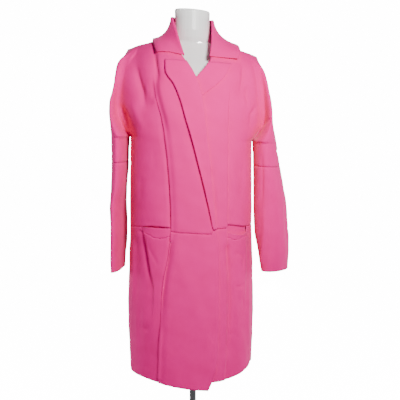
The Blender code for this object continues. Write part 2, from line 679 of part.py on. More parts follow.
def front(side):
    points, keep, heights = half_bodice(side, False)
    edge_heights = heights[:, 0]
    lapel = lapel_grid(side, edge_heights)
    lowest = LAPEL[side]["height"][0]
    rows = (edge_heights[:-1] < NOTCH_HEIGHT + 0.001) & (edge_heights[1:] > lowest - 0.001)
    lapel_keep = np.repeat(rows[:, None], lapel.shape[1], axis=1)
    points = np.concatenate([lapel, points], axis=1)
    keep = np.concatenate([lapel_keep, keep], axis=1)
    return cloth_piece("front_" + side, lean(points), keep)


def back():
    right, right_keep, heights = half_bodice("right", True)
    left, left_keep, heights = half_bodice("left", True)
    upper = np.concatenate([right[:, ::-1], left[:, 1:]], axis=1)
    upper_keep = np.concatenate([right_keep[:, ::-1], left_keep], axis=1)
    lower_right, lower_left = (skirt_points(side, BACK_COLUMNS, True) for side in SIDES)
    lower = np.concatenate([lower_right[:, ::-1], lower_left[:, 1:]], axis=1)
    spare = len(SLEEVE_STEPS) + 1
    lower = np.pad(lower, ((0, 0), (spare, spare), (0, 0)), mode="edge")
    lower_keep = np.zeros((len(lower), upper_keep.shape[1]), bool)
    lower_keep[:, spare:-spare] = True
    points = np.concatenate([upper[:-1], lower])
    keep = np.concatenate([upper_keep[:-1], lower_keep])
    return cloth_piece("back", lean(points), keep)


def skirt_grid(side, heights, positions, back):
    """Points of one half of the skirt's section, for columns placed between the named lines."""
    if back:
        return section_grid(side, heights, positions, back)
    sign = SIDES[side]
    lines = [body_angle(read(EDGE[side], "x", heights), heights),
             body_angle(read(PLEAT[side], "x", heights), heights),
             body_angle(read(POCKET_END[side], "x", heights), heights),
             np.full(heights.shape, sign * math.pi / 2)]
    angle = lines[0]
    for i in range(3):
        angle = angle + (lines[i + 1] - lines[i]) * np.clip(positions - i, 0, 1)
    x, y = body_xy(angle, heights)
    return x, y, angle


def skirt_points(side, positions, back):
    """Points of one half of the skirt, from the waist seam to the hem."""
    positions = np.array(positions, float)
    hem = HEM["back" if back else side]
    columns = np.zeros((1, len(positions)))
    x, y, angle = skirt_grid(side, columns + hem["height"].mean(), positions, back)
    hem_heights = read(hem, "height", x, "x")
    top = WAIST_SEAM_HEIGHT if back else WAIST_SEAM_HEIGHT - SEAM_GAP / 2
    heights = top + (hem_heights - top) * np.array(SKIRT_ROWS)[:, None]
    heights[1] = WAIST_SEAM_HEIGHT - POCKET_BAND_TALL
    x, y, angle = skirt_grid(side, heights, positions, back)
    if not back:
        x, y = stand_out(x, y, angle, heights, front_relief(side, x, heights) * skirt_fade(side, x))
    gap = ROUND_SEAM_GAP / 2 if back else -ROUND_SEAM_GAP / 2
    return np.stack([x, y + gap, heights], axis=-1)


def skirt_fade(side, x):
    """Folds die out before the side seam."""
    return smooth_step((SIDE_FADE_OUT - abs(x)) / SIDE_FADE_WIDTH)


def skirt(side):
    """A front below the waist seam, with a step in its top edge for the pocket's band."""
    points = skirt_points(side, SKIRT_COLUMNS, False)
    keep = np.ones((points.shape[0] - 1, points.shape[1] - 1), bool)
    columns = np.array(SKIRT_COLUMNS)
    in_pocket = (columns[:-1] > 0.999) & (columns[1:] < 2.001)
    keep[0, in_pocket] = False
    return cloth_piece("skirt_" + side, lean(points), keep)


def pocket_points(side, heights, inset, lift):
    """Points over a front between the pocket's ends: rows at heights, stood off by lift."""
    positions = np.array([p for p in SKIRT_COLUMNS if 0.999 < p < 2.001])
    positions[0] += inset
    positions[-1] -= inset
    heights = heights[:, None] + 0 * positions
    at_mouth = np.maximum(heights, WAIST_SEAM_HEIGHT - POCKET_BAND_TALL)
    x, y, angle = skirt_grid(side, at_mouth, positions, False)
    points = front_points(side, x, heights, lift(x, heights))
    return points, positions - 1


def pocket_band(side):
    """The band along the pocket's mouth, whose top edge sags and leans out."""
    top = WAIST_SEAM_HEIGHT - SEAM_GAP * 1.5
    bottom = WAIST_SEAM_HEIGHT - POCKET_BAND_TALL + SEAM_GAP
    points, across = pocket_points(side, np.linspace(top, bottom, 4), BAND_INSET, lambda x, z: 0.0)
    falling = np.linspace(1, 0, 4)[:, None]
    points[..., 2] -= POCKET_SAG[side] * falling * np.sin(math.pi * across) ** 1.2
    keep = np.ones((3, len(across) - 1), bool)
    return cloth_piece("pocket_band_" + side, lean(points), keep)


def pocket_back(side):
    """The pocket's back ply, close behind the bodice and sinking in behind the skirt."""
    top = WAIST_SEAM_HEIGHT + POCKET_TOP
    bottom = WAIST_SEAM_HEIGHT - POCKET_DEEP

    def behind(x, z):
        below_mouth = WAIST_SEAM_HEIGHT - POCKET_BAND_TALL - z
        sink = POCKET_SINK * smooth_step(below_mouth / 0.03)
        return -POCKET_PLY - sink - front_relief(side, x, z)

    points, across = pocket_points(side, np.linspace(top, bottom, 7), BACK_INSET, behind)
    keep = np.ones((6, len(across) - 1), bool)
    return cloth_piece("pocket_back_" + side, lean(points), keep)


def sleeve(side):
    """A lower sleeve: one tube from the seam above the elbow to the cuff."""
    around = np.radians(np.linspace(0, 360, SLEEVE_SIDES + 1))
    level = np.linspace(ELBOW_SEAM_HEIGHT - SEAM_GAP, CUFF_HEIGHT, SLEEVE_ROWS)
    heights, angles = np.meshgrid(level, around, indexing="ij")
    x, y = arm_xy(side, angles, heights)
    points = np.stack([x, y, heights], axis=-1)
    points[:, -1] = points[:, 0]
    keep = np.ones((SLEEVE_ROWS - 1, SLEEVE_SIDES), bool)
    return cloth_piece("sleeve_" + side, lean(points), keep)


def collar_seam(side, along):
    """The collar's sewn edge, just inside the neckline: up the front's edge, then round the back."""
    sign = SIDES[side]
    round_neck = (along - COLLAR_FRONT) / (1 - COLLAR_FRONT) * math.pi / 2
    out = (NECK_POINT_OUT - COLLAR_INSET) * np.cos(round_neck)
    depth = RIDGE_DEPTH + (BACK_NECK_DEPTH - RIDGE_DEPTH - COLLAR_INSET) * np.sin(round_neck)
    behind = np.stack([sign * out, depth, shoulder_height(out)], axis=-1)
    heights = NECK_POINT_HEIGHT - (NECK_POINT_HEIGHT - COLLAR_END_HEIGHT) * np.linspace(1, 0, SEAM_SAMPLES) ** 2
    line = front_points(side, read(EDGE[side], "x", heights), heights)
    line[:, 0] -= sign * COLLAR_INSET
    lengths = np.linalg.norm(np.diff(line, axis=0), axis=1)
    measured = np.concatenate([[0], np.cumsum(lengths)])
    at = np.clip(along / COLLAR_FRONT, 0, 1) * measured[-1]
    before = np.stack([np.interp(at, measured, line[:, axis]) for axis in range(3)], axis=-1)
    return np.where(along[:, None] < COLLAR_FRONT, before, behind)


def clear_of_panels(points, panels):
    """Move points that would touch a panel out to one layer from it."""
    flat = points.reshape(-1, 3)
    for panel in panels:
        mesh = panel.data
        corners = [vertex.co for vertex in mesh.vertices]
        tree = BVHTree.FromPolygons(corners, [list(face.vertices) for face in mesh.polygons])
        facing = sum(face.normal.dot(face.center - Vector(BODY_CENTRE)) for face in mesh.polygons)
        for point in flat:
            place, normal, index, distance = tree.find_nearest(Vector(point))
            outward = normal * math.copysign(1, facing)
            room = (Vector(point) - place).dot(outward)
            if distance < COLLAR_REACH and room < LAYER + COLLAR_STAND:
                point += np.array(outward) * (LAYER + COLLAR_STAND - room)
    return flat.reshape(points.shape)


def unit(vectors):
    return vectors / np.linalg.norm(vectors, axis=1, keepdims=True)


def collar_half(side):
    """Grid of half the collar, from its front end to the middle back: rows along, columns across."""
    along = np.array(COLLAR_STEPS)
    seam = collar_seam(side, along)
    edges = []
    for line in COLLAR.values():
        out = SIDES[side] * read(line, "out", along, "along") + read(line, "shift", along, "along")
        edges.append(np.stack([out, read(line, "depth", along, "along"), read(line, "height", along, "along")],
                              axis=-1))
    roll, outer = edges
    forward_of_seam = np.clip(seam[0, 1] - COLLAR_END_FORWARD - roll[0, 1], -1, 0)
    roll[:, 1] += forward_of_seam * (1 - smooth_step(along / COLLAR_FRONT))
    along_roll = unit(np.gradient(roll, axis=0))
    crest = unit(roll - seam) - unit(outer - roll)
    crest = unit(crest - along_roll * np.sum(crest * along_roll, axis=1, keepdims=True))
    outward = np.cross(along_roll, crest)
    outward *= np.sign(np.sum(outward[:, :2] * roll[:, :2], axis=1, keepdims=True))
    room = read(COLLAR["roll"], "room", along, "along")[:, None]
    inside = roll - outward * room - crest * room
    outside = roll + outward * room - crest * room
    bend = outside + (outer - outside) * np.array(COLLAR_BEND)
    fall = [outside]
    for t in COLLAR_FALL_STEPS:
        fall.append(outside * (1 - t) ** 2 + bend * 2 * t * (1 - t) + outer * t * t)
    rise = [seam, (seam + inside) / 2, inside, roll]
    return lean(np.stack(rise + fall, axis=1)), len(rise)


def collar(panels):
    """The collar in one piece, stood off the panels where it is turned down."""
    right, rise = collar_half("right")
    left, rise = collar_half("left")
    points = np.concatenate([right, left[-2::-1]])
    for again in range(COLLAR_CLEARINGS):
        points[:, rise:] = clear_of_panels(points[:, rise:], panels)
    keep = np.ones((points.shape[0] - 1, points.shape[1] - 1), bool)
    return cloth_piece("collar", points, keep)


def dress_form():
    """A limbless torso with a neck, closed at both ends, standing clear inside the cloth."""
    around = np.linspace(0, 2 * math.pi, FORM_SIDES, endpoint=False)
    level = FORM["height"]
    rings = []
    for height in level:
        power = 2 / float(read(FORM, "square", height))
        sine, cosine = np.sin(around), np.cos(around)
        half = read(FORM, "half_width", height)
        depth = np.where(cosine > 0, read(FORM, "front", height), read(FORM, "back", height))
        x = half * np.sign(sine) * abs(sine) ** power
        y = read(FORM, "depth", height) - depth * np.sign(cosine) * abs(cosine) ** power
        rings.append(np.stack([x, y, np.full(FORM_SIDES, height)], axis=-1))
    points = lean(np.array(rings))
    mesh = bpy.data.meshes.new("dress_form")
    edit = bmesh.new()
    loops = [[edit.verts.new(point) for point in ring] for ring in points]
    for lower, upper in zip(loops, loops[1:]):
        for i in range(FORM_SIDES):
            j = (i + 1) % FORM_SIDES
            edit.faces.new((lower[i], lower[j], upper[j], upper[i]))
    edit.faces.new(loops[0][::-1])
    edit.faces.new(loops[-1])
    bmesh.ops.recalc_face_normals(edit, faces=edit.faces)
    edit.to_mesh(mesh)
    edit.free()
    mesh.materials.append(finish("dress_form", WHITE, GLOSS_ROUGHNESS))
    mesh.shade_smooth()
    mesh.set_sharp_from_angle(angle=math.radians(FORM_SMOOTH_ANGLE))
    return add_object("dress_form", mesh)


def turned(name, profile, sides):
    """A turned piece of steel: a profile of (radius, height) from the top down, swept by Screw."""
    mesh = bpy.data.meshes.new(name)
    vertices = [(radius, 0.0, height) for radius, height in profile]
    mesh.from_pydata(vertices, [(i, i + 1) for i in range(len(vertices) - 1)], [])
    mesh.materials.append(finish(name, STEEL, STEEL_ROUGHNESS, 1.0))
    obj = add_object(name, mesh)
    screw = obj.modifiers.new("Turn", "SCREW")
    screw.steps = sides
    screw.render_steps = sides
    screw.use_merge_vertices = True
    screw.merge_threshold = 0.00005
    return obj


def stand():
    pole_top = FORM["height"][0] - SEAM_GAP
    pole_foot = SOCKET_TOP + SEAM_GAP
    turned("stand_pole", [(0, pole_top), (POLE_RADIUS, pole_top), (POLE_RADIUS, pole_foot), (0, pole_foot)],
           POLE_SIDES)
    flare, rise = SOCKET_FOOT
    turned("stand_base", [
        (0, SOCKET_TOP),
        (SOCKET_RADIUS, SOCKET_TOP),
        (SOCKET_RADIUS, BASE_THICK + rise),
        (SOCKET_RADIUS + flare, BASE_THICK),
        (BASE_RADIUS - BASE_EDGE, BASE_THICK),
        (BASE_RADIUS, BASE_THICK - BASE_EDGE),
        (BASE_RADIUS, 0),
        (0, 0),
    ], BASE_SIDES)


def build():
    for obj in list(bpy.data.objects):
        bpy.data.objects.remove(obj, do_unlink=True)
    collection = bpy.data.collections.new(COLLECTION_NAME)
    bpy.context.scene.collection.children.link(collection)
    panels = [back()]
    for side in SIDES:
        panels.append(front(side))
        skirt(side)
        sleeve(side)
        pocket_band(side)
        pocket_back(side)
    collar(panels)
    dress_form()
    stand()


build()
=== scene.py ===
import math
from functools import partial

import bmesh
import bpy
import numpy as np
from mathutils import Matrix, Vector
from mathutils.bvhtree import BVHTree


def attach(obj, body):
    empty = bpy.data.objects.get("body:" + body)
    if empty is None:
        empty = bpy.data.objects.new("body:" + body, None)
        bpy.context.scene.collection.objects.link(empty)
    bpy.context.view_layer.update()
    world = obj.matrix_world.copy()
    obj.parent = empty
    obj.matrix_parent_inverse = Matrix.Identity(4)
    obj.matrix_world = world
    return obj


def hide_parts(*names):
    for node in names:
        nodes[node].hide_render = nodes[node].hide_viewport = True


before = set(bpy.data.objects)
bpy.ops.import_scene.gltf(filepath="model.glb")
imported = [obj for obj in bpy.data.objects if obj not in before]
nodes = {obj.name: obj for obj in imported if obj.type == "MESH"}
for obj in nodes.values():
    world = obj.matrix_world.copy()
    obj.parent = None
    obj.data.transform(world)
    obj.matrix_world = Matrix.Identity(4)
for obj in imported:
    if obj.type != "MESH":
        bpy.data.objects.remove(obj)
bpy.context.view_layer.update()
sides = {"Right": -1, "Left": 1}  # the wearer's, so Right is at -X
print("Frame loaded,", len(nodes), "nodes")

# Camera

cameraView = {
    "place": (0.021375, -2.0, 1.195),
    "tiltDown": 7.3083,  # degrees
    "lens": 63.675,  # mm on a 36 mm sensor
}


def addObject(name, data):
    thing = bpy.data.objects.new(name, data)
    bpy.context.scene.collection.objects.link(thing)
    return thing


cameraData = bpy.data.cameras.new("photoCamera")
cameraData.lens = cameraView["lens"]
cameraData.sensor_width = 36.0
camera = addObject("photoCamera", cameraData)
camera.location = cameraView["place"]
camera.rotation_euler = (math.radians(90 - cameraView["tiltDown"]), 0, 0)
bpy.context.scene.camera = camera


# Small tools: tables, curves and grids

plainColumns = {"square", "bodyAngle", "armAngle", "turn", "slope", "across", "along", "phase"}


def table(columns, *rows):  # a row at a time, with lengths given in mm and kept in metres
    return {name: np.array(values) / (1 if name in plainColumns else 1000)
            for name, values in zip(columns.split(), zip(*rows))}


def smoothCurve(xs, ys, x):  # through the points, without overshoot
    steps = np.diff(xs)
    slopes = np.diff(ys) / steps
    product = slopes[:-1] * slopes[1:]
    total = np.where(product > 0, slopes[:-1] + slopes[1:], 1)
    tangents = np.concatenate([slopes[:1], np.where(product > 0, 2 * product / total, 0), slopes[-1:]])
    x = np.clip(x, xs[0], xs[-1])
    i = np.clip(np.searchsorted(xs, x, side="right") - 1, 0, len(xs) - 2)
    t = (x - xs[i]) / steps[i]
    start = (1 + 2 * t) * (1 - t) ** 2 * ys[i] + t * (1 - t) ** 2 * steps[i] * tangents[i]
    end = t * t * (3 - 2 * t) * ys[i + 1] + t * t * (t - 1) * steps[i] * tangents[i + 1]
    return start + end


def read(values, column, at, key="height"):
    return smoothCurve(values[key], values[column], at)


def smoothStep(t):
    t = np.clip(t, 0.0, 1.0)
    return t * t * (3 - 2 * t)


def signedPower(value, power):
    return np.sign(value) * abs(value) ** power


def bell(distance, reach):
    return np.exp(-((distance / reach) ** 2))


def refine(values, step):  # the same values with more between them, no further apart than step
    found = [values[0]]
    for before, after in zip(values, values[1:]):
        count = max(1, math.ceil(abs(after - before) / step))
        found.extend(before + (after - before) * np.arange(1, count + 1) / count)
    return np.array(found)


def unit(vectors):
    return vectors / np.maximum(np.linalg.norm(vectors, axis=-1, keepdims=True), 1e-9)


def stepLengths(points, axis):
    return np.linalg.norm(np.diff(points, axis=axis), axis=-1)


def measured(steps):  # the length from the start to each point
    return np.concatenate([[0], np.cumsum(steps)])


def gridNormals(points, centre, closed=False):  # facing away from centre on the whole
    ring = np.concatenate([points[:, -2:-1], points, points[:, 1:2]], axis=1) if closed else points
    normals = unit(np.cross(np.gradient(ring, axis=0), np.gradient(ring, axis=1)))
    if closed:
        normals = normals[:, 1:-1]
    return normals * np.sign(np.sum(normals * (points - centre)))


# The shape of the garment as worn: that of the solids, but for a slightly slimmer right arm

body = table(
    "height halfWidth middle front back square",
    (420, 174, -7, 136, 113, 2.5),
    (520, 177, -6, 137, 118, 2.5),
    (650, 179, -5.5, 136, 121, 2.5),
    (780, 175, -5, 133, 115, 2.5),
    (868, 171, -5, 130, 106, 2.5),
    (950, 171, -4, 129, 100, 2.5),
    (1040, 170, -4, 130, 100, 2.5),
    (1113, 169, -3.5, 130, 102, 2.5),
    (1123, 177, -3.5, 130, 102, 2.35),
    (1143, 190, -3, 129, 103, 2.15),
    (1173, 205, -3, 127, 104, 2),
    (1213, 211, -3, 122, 104, 2),
    (1263, 210, -2, 114, 102, 2.1),
    (1313, 201, -2, 104, 97, 2.3),
    (1350, 176, -2, 96, 92, 2.5),
    (1400, 168, -2, 88, 86, 2.5),
)

# Where the body turns into the sleeve: angles round the body and the arm, and the web between
trough = table(
    "height bodyAngle web dip armAngle",
    (1113, 90, 4.5, 0, 0),
    (1113.5, 89, 4.5, 0.2, 1.5),
    (1116.5, 86.5, 4.6, 1, 5),
    (1123, 83, 5, 2.2, 10),
    (1143, 77, 7, 4, 24),
    (1173, 71, 10, 5, 38),
    (1213, 65, 12, 4.5, 52),
    (1263, 60, 13, 3, 66),
    (1313, 57, 14, 1, 76),
    (1360, 55, 14, 0, 84),
)

# Sections of the arms: place, half the long and the thin way across, and the long way's turn
arms = {
    "Right": table(
        "height out depth long thin turn",
        (742, 214, -12, 58, 10.7, 11),
        (800, 211, -10, 67, 11.9, 10),
        (860, 208.5, -8, 74, 12.3, 9),
        (930, 210, -5, 79, 15.6, 7),
        (980, 206.8, -4, 83, 18.2, 3),
        (1045, 203.6, -2, 85, 20.4, 1.5),
        (1113, 202, 0, 85, 21.2, 2.5),
        (1158, 198.5, 2, 83, 24, 4),
        (1207, 195, 4, 80, 26.2, 3),
        (1239, 186, 5, 78, 27, 2),
        (1305, 172, 8, 72, 29, 0),
        (1350, 150, 10, 60, 28, 0),
    ),
    "Left": table(
        "height out depth long thin turn",
        (742, 235, -18, 48, 26.5, -47),
        (800, 230.5, -16, 52, 38, -39),
        (860, 223.5, -14, 56, 44, -30),
        (930, 219, -12, 60, 44.5, -20),
        (980, 215, -10, 66, 41, -14),
        (1045, 209, -6, 74, 37, -8),
        (1113, 203, -2, 80, 33, -4),
        (1179, 194, 2, 80, 29, -3),
        (1230, 188, 4, 77, 29, -2),
        (1263, 181, 6, 74, 28, -1),
        (1296, 172, 8, 70, 28, 0),
        (1350, 152, 10, 58, 28, 0),
    ),
}

shoulderLine = table("out height", (62, 1385), (93, 1379), (120, 1370.5), (150, 1360.5), (179, 1350))
leanTable = table("height slope", (950, 0), (1045, 0.03), (1113, 0.041), (1350, 0.06), (1460, 0.085))

# Inner edge of each front: neckline, the roll line of the lapel, then the free edge
edge = {
    "Right": table("height x", (420, 39), (426.6, 42.3), (452, 53), (489, 62.5), (530, 69), (700, 71),
                   (825, 70.5), (868, 62.5), (982, 50.6), (1051, 45.2), (1146, 34.5), (1230, 24),
                   (1275, 10.8), (1330, -21.4), (1360, -44), (1386, -62)),
    "Left": table("height x", (420, -40), (1100, -42), (1165, -40), (1200, -30), (1275, 10.8), (1326, 48),
                  (1360, 57), (1386, 62)),
}

# The pressed pleat of each front
pleat = {
    "Right": table("height x", (420, -95), (600, -86), (704, -81.6), (868, -56.6), (950, -58),
                   (1050, -63.5), (1117, -70), (1167, -79), (1238, -97.5), (1386, -110)),
    "Left": table("height x", (420, 86), (600, 95), (868, 94), (1172, 95.3), (1386, 110)),
}

backNeckLine = table("height out", (420, 85), (1200, 80), (1386, 64))

garment = {
    "wall": 0.002,
    "seamGap": 0.0004,
    "roundSeamGap": 0.0007,
    "layer": 0.0036,  # one layer on another, middle to middle
    "neckPoint": (0.062, 1.385),  # out and height
    "backNeckDip": 0.014,
    "backNeckDepth": 0.066,
    "shoulderCap": 0.100,
    "ridgeDepth": 0.008,
    "notch": 1.3225,
    "underarm": 1.113,
    "elbowSeam": 1.045,
    "waistSeam": 0.868,
    "bandTall": 0.026,
    "cell": 0.0046,
}
seamGap, roundGap = garment["seamGap"], garment["roundSeamGap"]
layer, bandTall = garment["layer"], garment["bandTall"]
underarm, elbowSeam, waistSeam = garment["underarm"], garment["elbowSeam"], garment["waistSeam"]
neckOut, neckHeight = garment["neckPoint"]
bandBottom = waistSeam - bandTall

# A pleat's step, its pressed edge, and how far below its top it has its full height
pleatForm = {"step": 0.0036, "edge": 0.0032, "top": 1.30, "growth": 0.12}

# The right front climbs onto the left one, and higher up onto its lapel too
lap = {"start": 0.004, "width": 0.016, "second": 1.11, "rise": 0.06}

foldsOfSolids = table(
    "x0 z0 x1 z1 halfWidth depth",
    (-157, 1325, -126, 1205, 24, -6),
    (-100, 1345, -88, 1270, 14, -3),
    (-222, 1212, -172, 1130, 22, -8),
    (140, 1318, 137, 1245, 22, -4),
    (178, 1320, 196, 1170, 16, -5),
    (92, 810, 96, 540, 22, -5),
)

shoulderDrops = refine((0.0, 0.003, 0.009, 0.018, 0.030, 0.045, 0.0625, 0.085, 0.112, 0.142, 0.172, 0.202,
                        0.229, 0.249, 0.262, 0.2685, 0.2715, 0.272), garment["cell"])
bodiceRows = refine((1.113, 1.090, 1.068, elbowSeam + seamGap / 2, 1.010, 0.970, 0.930, 0.895,
                     waistSeam + seamGap / 2), garment["cell"])[1:]
skirtRows = (0.0, 0.062, 0.15, 0.25, 0.36, 0.47, 0.58, 0.69, 0.80, 0.90, 0.965, 1.0)
toPleat = (0.0, 0.2, 0.4, 0.6, 0.8, 0.955, 0.972, 0.984, 0.990, 0.995, 1.0, 1.005, 1.010, 1.016, 1.03)
frontColumns = refine(toPleat + (1.25, 1.5, 1.75, 1.93, 2.0), 0.035)
skirtColumns = refine(toPleat + (1.07, 1.22, 1.4, 1.58, 1.75, 1.9, 2.0, 2.15, 2.5, 2.88, 3.0), 0.045)
backColumns = refine((0.0, 0.2, 0.4, 0.6, 0.8, 1.0, 1.25, 1.5, 1.75, 1.92, 2.0), 0.045)
sleeveSteps = refine((0.0, 0.14, 0.30, 0.46, 0.62, 0.76, 0.88, 0.965, 1.0), 0.03)


def slopeAt(height):
    return read(leanTable, "slope", height)


def lean(points):  # the wearer's left shoulder hangs lower
    points = np.array(points, float)
    points[..., 2] -= points[..., 0] * slopeAt(points[..., 2])
    return points


def bodyDepth(angle, height):
    return np.where(np.cos(angle) > 0, read(body, "front", height), read(body, "back", height))


def bodyPoint(angle, height):  # angle 0 is the middle front, +90 degrees the left side
    power = 2 / read(body, "square", height)
    x = read(body, "middle", height) + read(body, "halfWidth", height) * signedPower(np.sin(angle), power)
    return x, -bodyDepth(angle, height) * signedPower(np.cos(angle), power)


def bodyAngle(x, height):
    ratio = np.clip((x - read(body, "middle", height)) / read(body, "halfWidth", height), -1, 1)
    return np.arcsin(signedPower(ratio, read(body, "square", height) / 2))


def armPoint(side, around, height):  # around is 0 beside the body, a quarter turn at the front
    arm = arms[side]
    turn = np.radians(read(arm, "turn", height))
    thin = -read(arm, "thin", height) * np.cos(around)
    long = -read(arm, "long", height) * np.sin(around)
    out = read(arm, "out", height) + thin * np.cos(turn) - long * np.sin(turn)
    return sides[side] * out, read(arm, "depth", height) + thin * np.sin(turn) + long * np.cos(turn)


def shoulderHeight(out):
    neckline = neckHeight - garment["backNeckDip"] * (1 - np.clip(out / neckOut, 0, 1) ** 2)
    return np.where(out < neckOut, neckline, read(shoulderLine, "height", out, "out"))


def roundOver(x, y, height, back):  # the depth comes in to the shoulder seam or the back neckline
    out = abs(x) if back else np.maximum(abs(x), neckOut)
    inside = np.clip(1 - (out / neckOut) ** 2, 0, 1)
    topY = garment["ridgeDepth"] + (garment["backNeckDepth"] - garment["ridgeDepth"]) * np.sqrt(inside)
    fall = np.clip((shoulderHeight(out) - height) / garment["shoulderCap"], 0, 1)
    return topY + (y - topY) * np.sqrt(1 - (1 - fall) ** 2)


def sectionGrid(side, heights, positions, back, pocketed=False):  # columns spread between lines
    sign = sides[side]
    outer = sign * np.radians(np.where(heights < underarm, 90.0, read(trough, "bodyAngle", heights)))
    if back:
        neckX = read(body, "middle", heights) + sign * read(backNeckLine, "out", heights)
        lines = [np.zeros_like(heights), bodyAngle(neckX, heights), outer]
    else:
        inner = [edge[side], pleat[side]] + [pocket["end"][side]] * pocketed
        lines = [bodyAngle(read(line, "x", heights), heights) for line in inner] + [outer]
    angle = lines[0] + 0 * positions
    for i in range(len(lines) - 1):
        angle = angle + (lines[i + 1] - lines[i]) * np.clip(positions - i, 0, 1)
    if back:
        angle = sign * math.pi - angle
    x, y = bodyPoint(angle, heights)
    return x, y, angle


def sleeveHalf(side, heights, back):  # the web beside the body and half of the sleeve
    sign = sides[side]
    outward = -1 if back else 1
    turn = np.radians(read(trough, "bodyAngle", heights))
    bodyX, bodyY = bodyPoint(sign * (math.pi - turn if back else turn), heights)
    web = read(trough, "web", heights)
    start = np.radians(read(trough, "armAngle", heights))
    around = start + (math.pi - start) * sleeveSteps
    x, y = armPoint(side, outward * around, heights)
    firstX, firstY = armPoint(side, outward * start, heights)
    hold = (1 - smoothStep(sleeveSteps)) * (heights >= underarm - 1e-6)
    x = x + (bodyX + sign * web - firstX) * hold
    y = y + (bodyY - firstY) * hold
    webX = (bodyX + sign * web / 2)[:, :1]
    webY = (bodyY + outward * read(trough, "dip", heights))[:, :1]
    return np.hstack([webX, x]), np.hstack([webY, y])


# How far each front stands out from its section: pleat, pocket, layers

pocket = {
    "gape": {"Right": 0.0045, "Left": 0.0100},
    "gapeFall": 0.055,  # the skirt follows the leaning mouth down to about here
    "gapeRound": 0.8,
    "sag": {  # how far the lip falls from the mouth, across the pocket
        "Right": table("across fall", (0, 1), (0.5, 2.2), (1, 0.8)),
        "Left": table("across fall", (0, 15.5), (0.28, 15), (0.57, 18.6), (0.81, 15), (1, 6)),
    },
    "deep": 0.110,
    "ply": 0.0042,
    "sink": 0.0065,
    "hang": {"Right": 0.006, "Left": 0.003},  # how far the cloth beyond the pocket's end falls back
    "hangStart": 0.03,
    "hangLength": 0.24,
    "hangFade": 0.12,
    "hangEdge": 0.006,
    "end": {
        "Right": table("height x", (420, -128), (600, -112), (711, -106), (756, -114.6), (819, -126.8),
                       (848, -135.4), (870, -138)),
        "Left": table("height x", (420, 142), (830, 150), (870, 150)),
    },
}


def lineDistance(x, z, x0, z0, x1, z1):
    lengthSquared = (x1 - x0) ** 2 + (z1 - z0) ** 2
    along = np.clip(((x - x0) * (x1 - x0) + (z - z0) * (z1 - z0)) / lengthSquared, 0, 1)
    return np.hypot(x - x0 - along * (x1 - x0), z - z0 - along * (z1 - z0)), along


def pocketGape(side, x, z):
    inner = read(pleat[side], "x", z)
    across = np.clip((x - inner) / (read(pocket["end"][side], "x", z) - inner), 0, 1)
    below = waistSeam - z
    reach = np.where(below > 0, np.exp(-below / pocket["gapeFall"]), 0.0)
    return pocket["gape"][side] * np.sin(math.pi * across) ** pocket["gapeRound"] * reach


def pocketHang(side, x, z):
    inward = -sides[side] * (x - read(pocket["end"][side], "x", z))
    below = bandBottom - z
    reach = smoothStep(below / pocket["hangStart"])
    reach = reach * smoothStep((pocket["hangLength"] - below) / pocket["hangFade"])
    return pocket["hang"][side] * reach * (smoothStep((inward + 0.0025) / pocket["hangEdge"]) - 1)


def frontRelief(side, x, z):
    inward = -sides[side] * (x - read(pleat[side], "x", z))
    pressed = smoothStep((inward + pleatForm["edge"] / 2) / pleatForm["edge"])
    relief = pleatForm["step"] * smoothStep((pleatForm["top"] - z) / pleatForm["growth"]) * pressed
    relief = relief + pocketGape(side, x, z) + pocketHang(side, x, z)
    for x0, z0, x1, z1, halfWidth, depth in zip(*foldsOfSolids.values()):
        distance = lineDistance(x, z, x0, z0, x1, z1)[0]
        relief = relief + depth * np.exp(-1.5 * (distance / halfWidth) ** 2)
    if side == "Right":
        layers = 1 + smoothStep((z - lap["second"]) / lap["rise"])
        relief = relief + layer * layers * smoothStep((inward - lap["start"]) / lap["width"])
    return relief


def standOut(x, y, angle, heights, relief):  # along the section's level normal
    power = 2 - 2 / read(body, "square", heights)
    nx = signedPower(np.sin(angle), power) / read(body, "halfWidth", heights)
    ny = -signedPower(np.cos(angle), power) / bodyDepth(angle, heights)
    length = np.hypot(nx, ny)
    return x + relief * nx / length, y + relief * ny / length


def frontPoints(side, x, heights, lift=0.0):
    angle = bodyAngle(x, heights)
    x, y = bodyPoint(angle, heights)
    y = roundOver(x, y, heights, False)
    px, py = standOut(x, y, angle, heights, frontRelief(side, x, heights) + lift)
    return np.stack([px, py - roundGap / 2, heights], axis=-1)


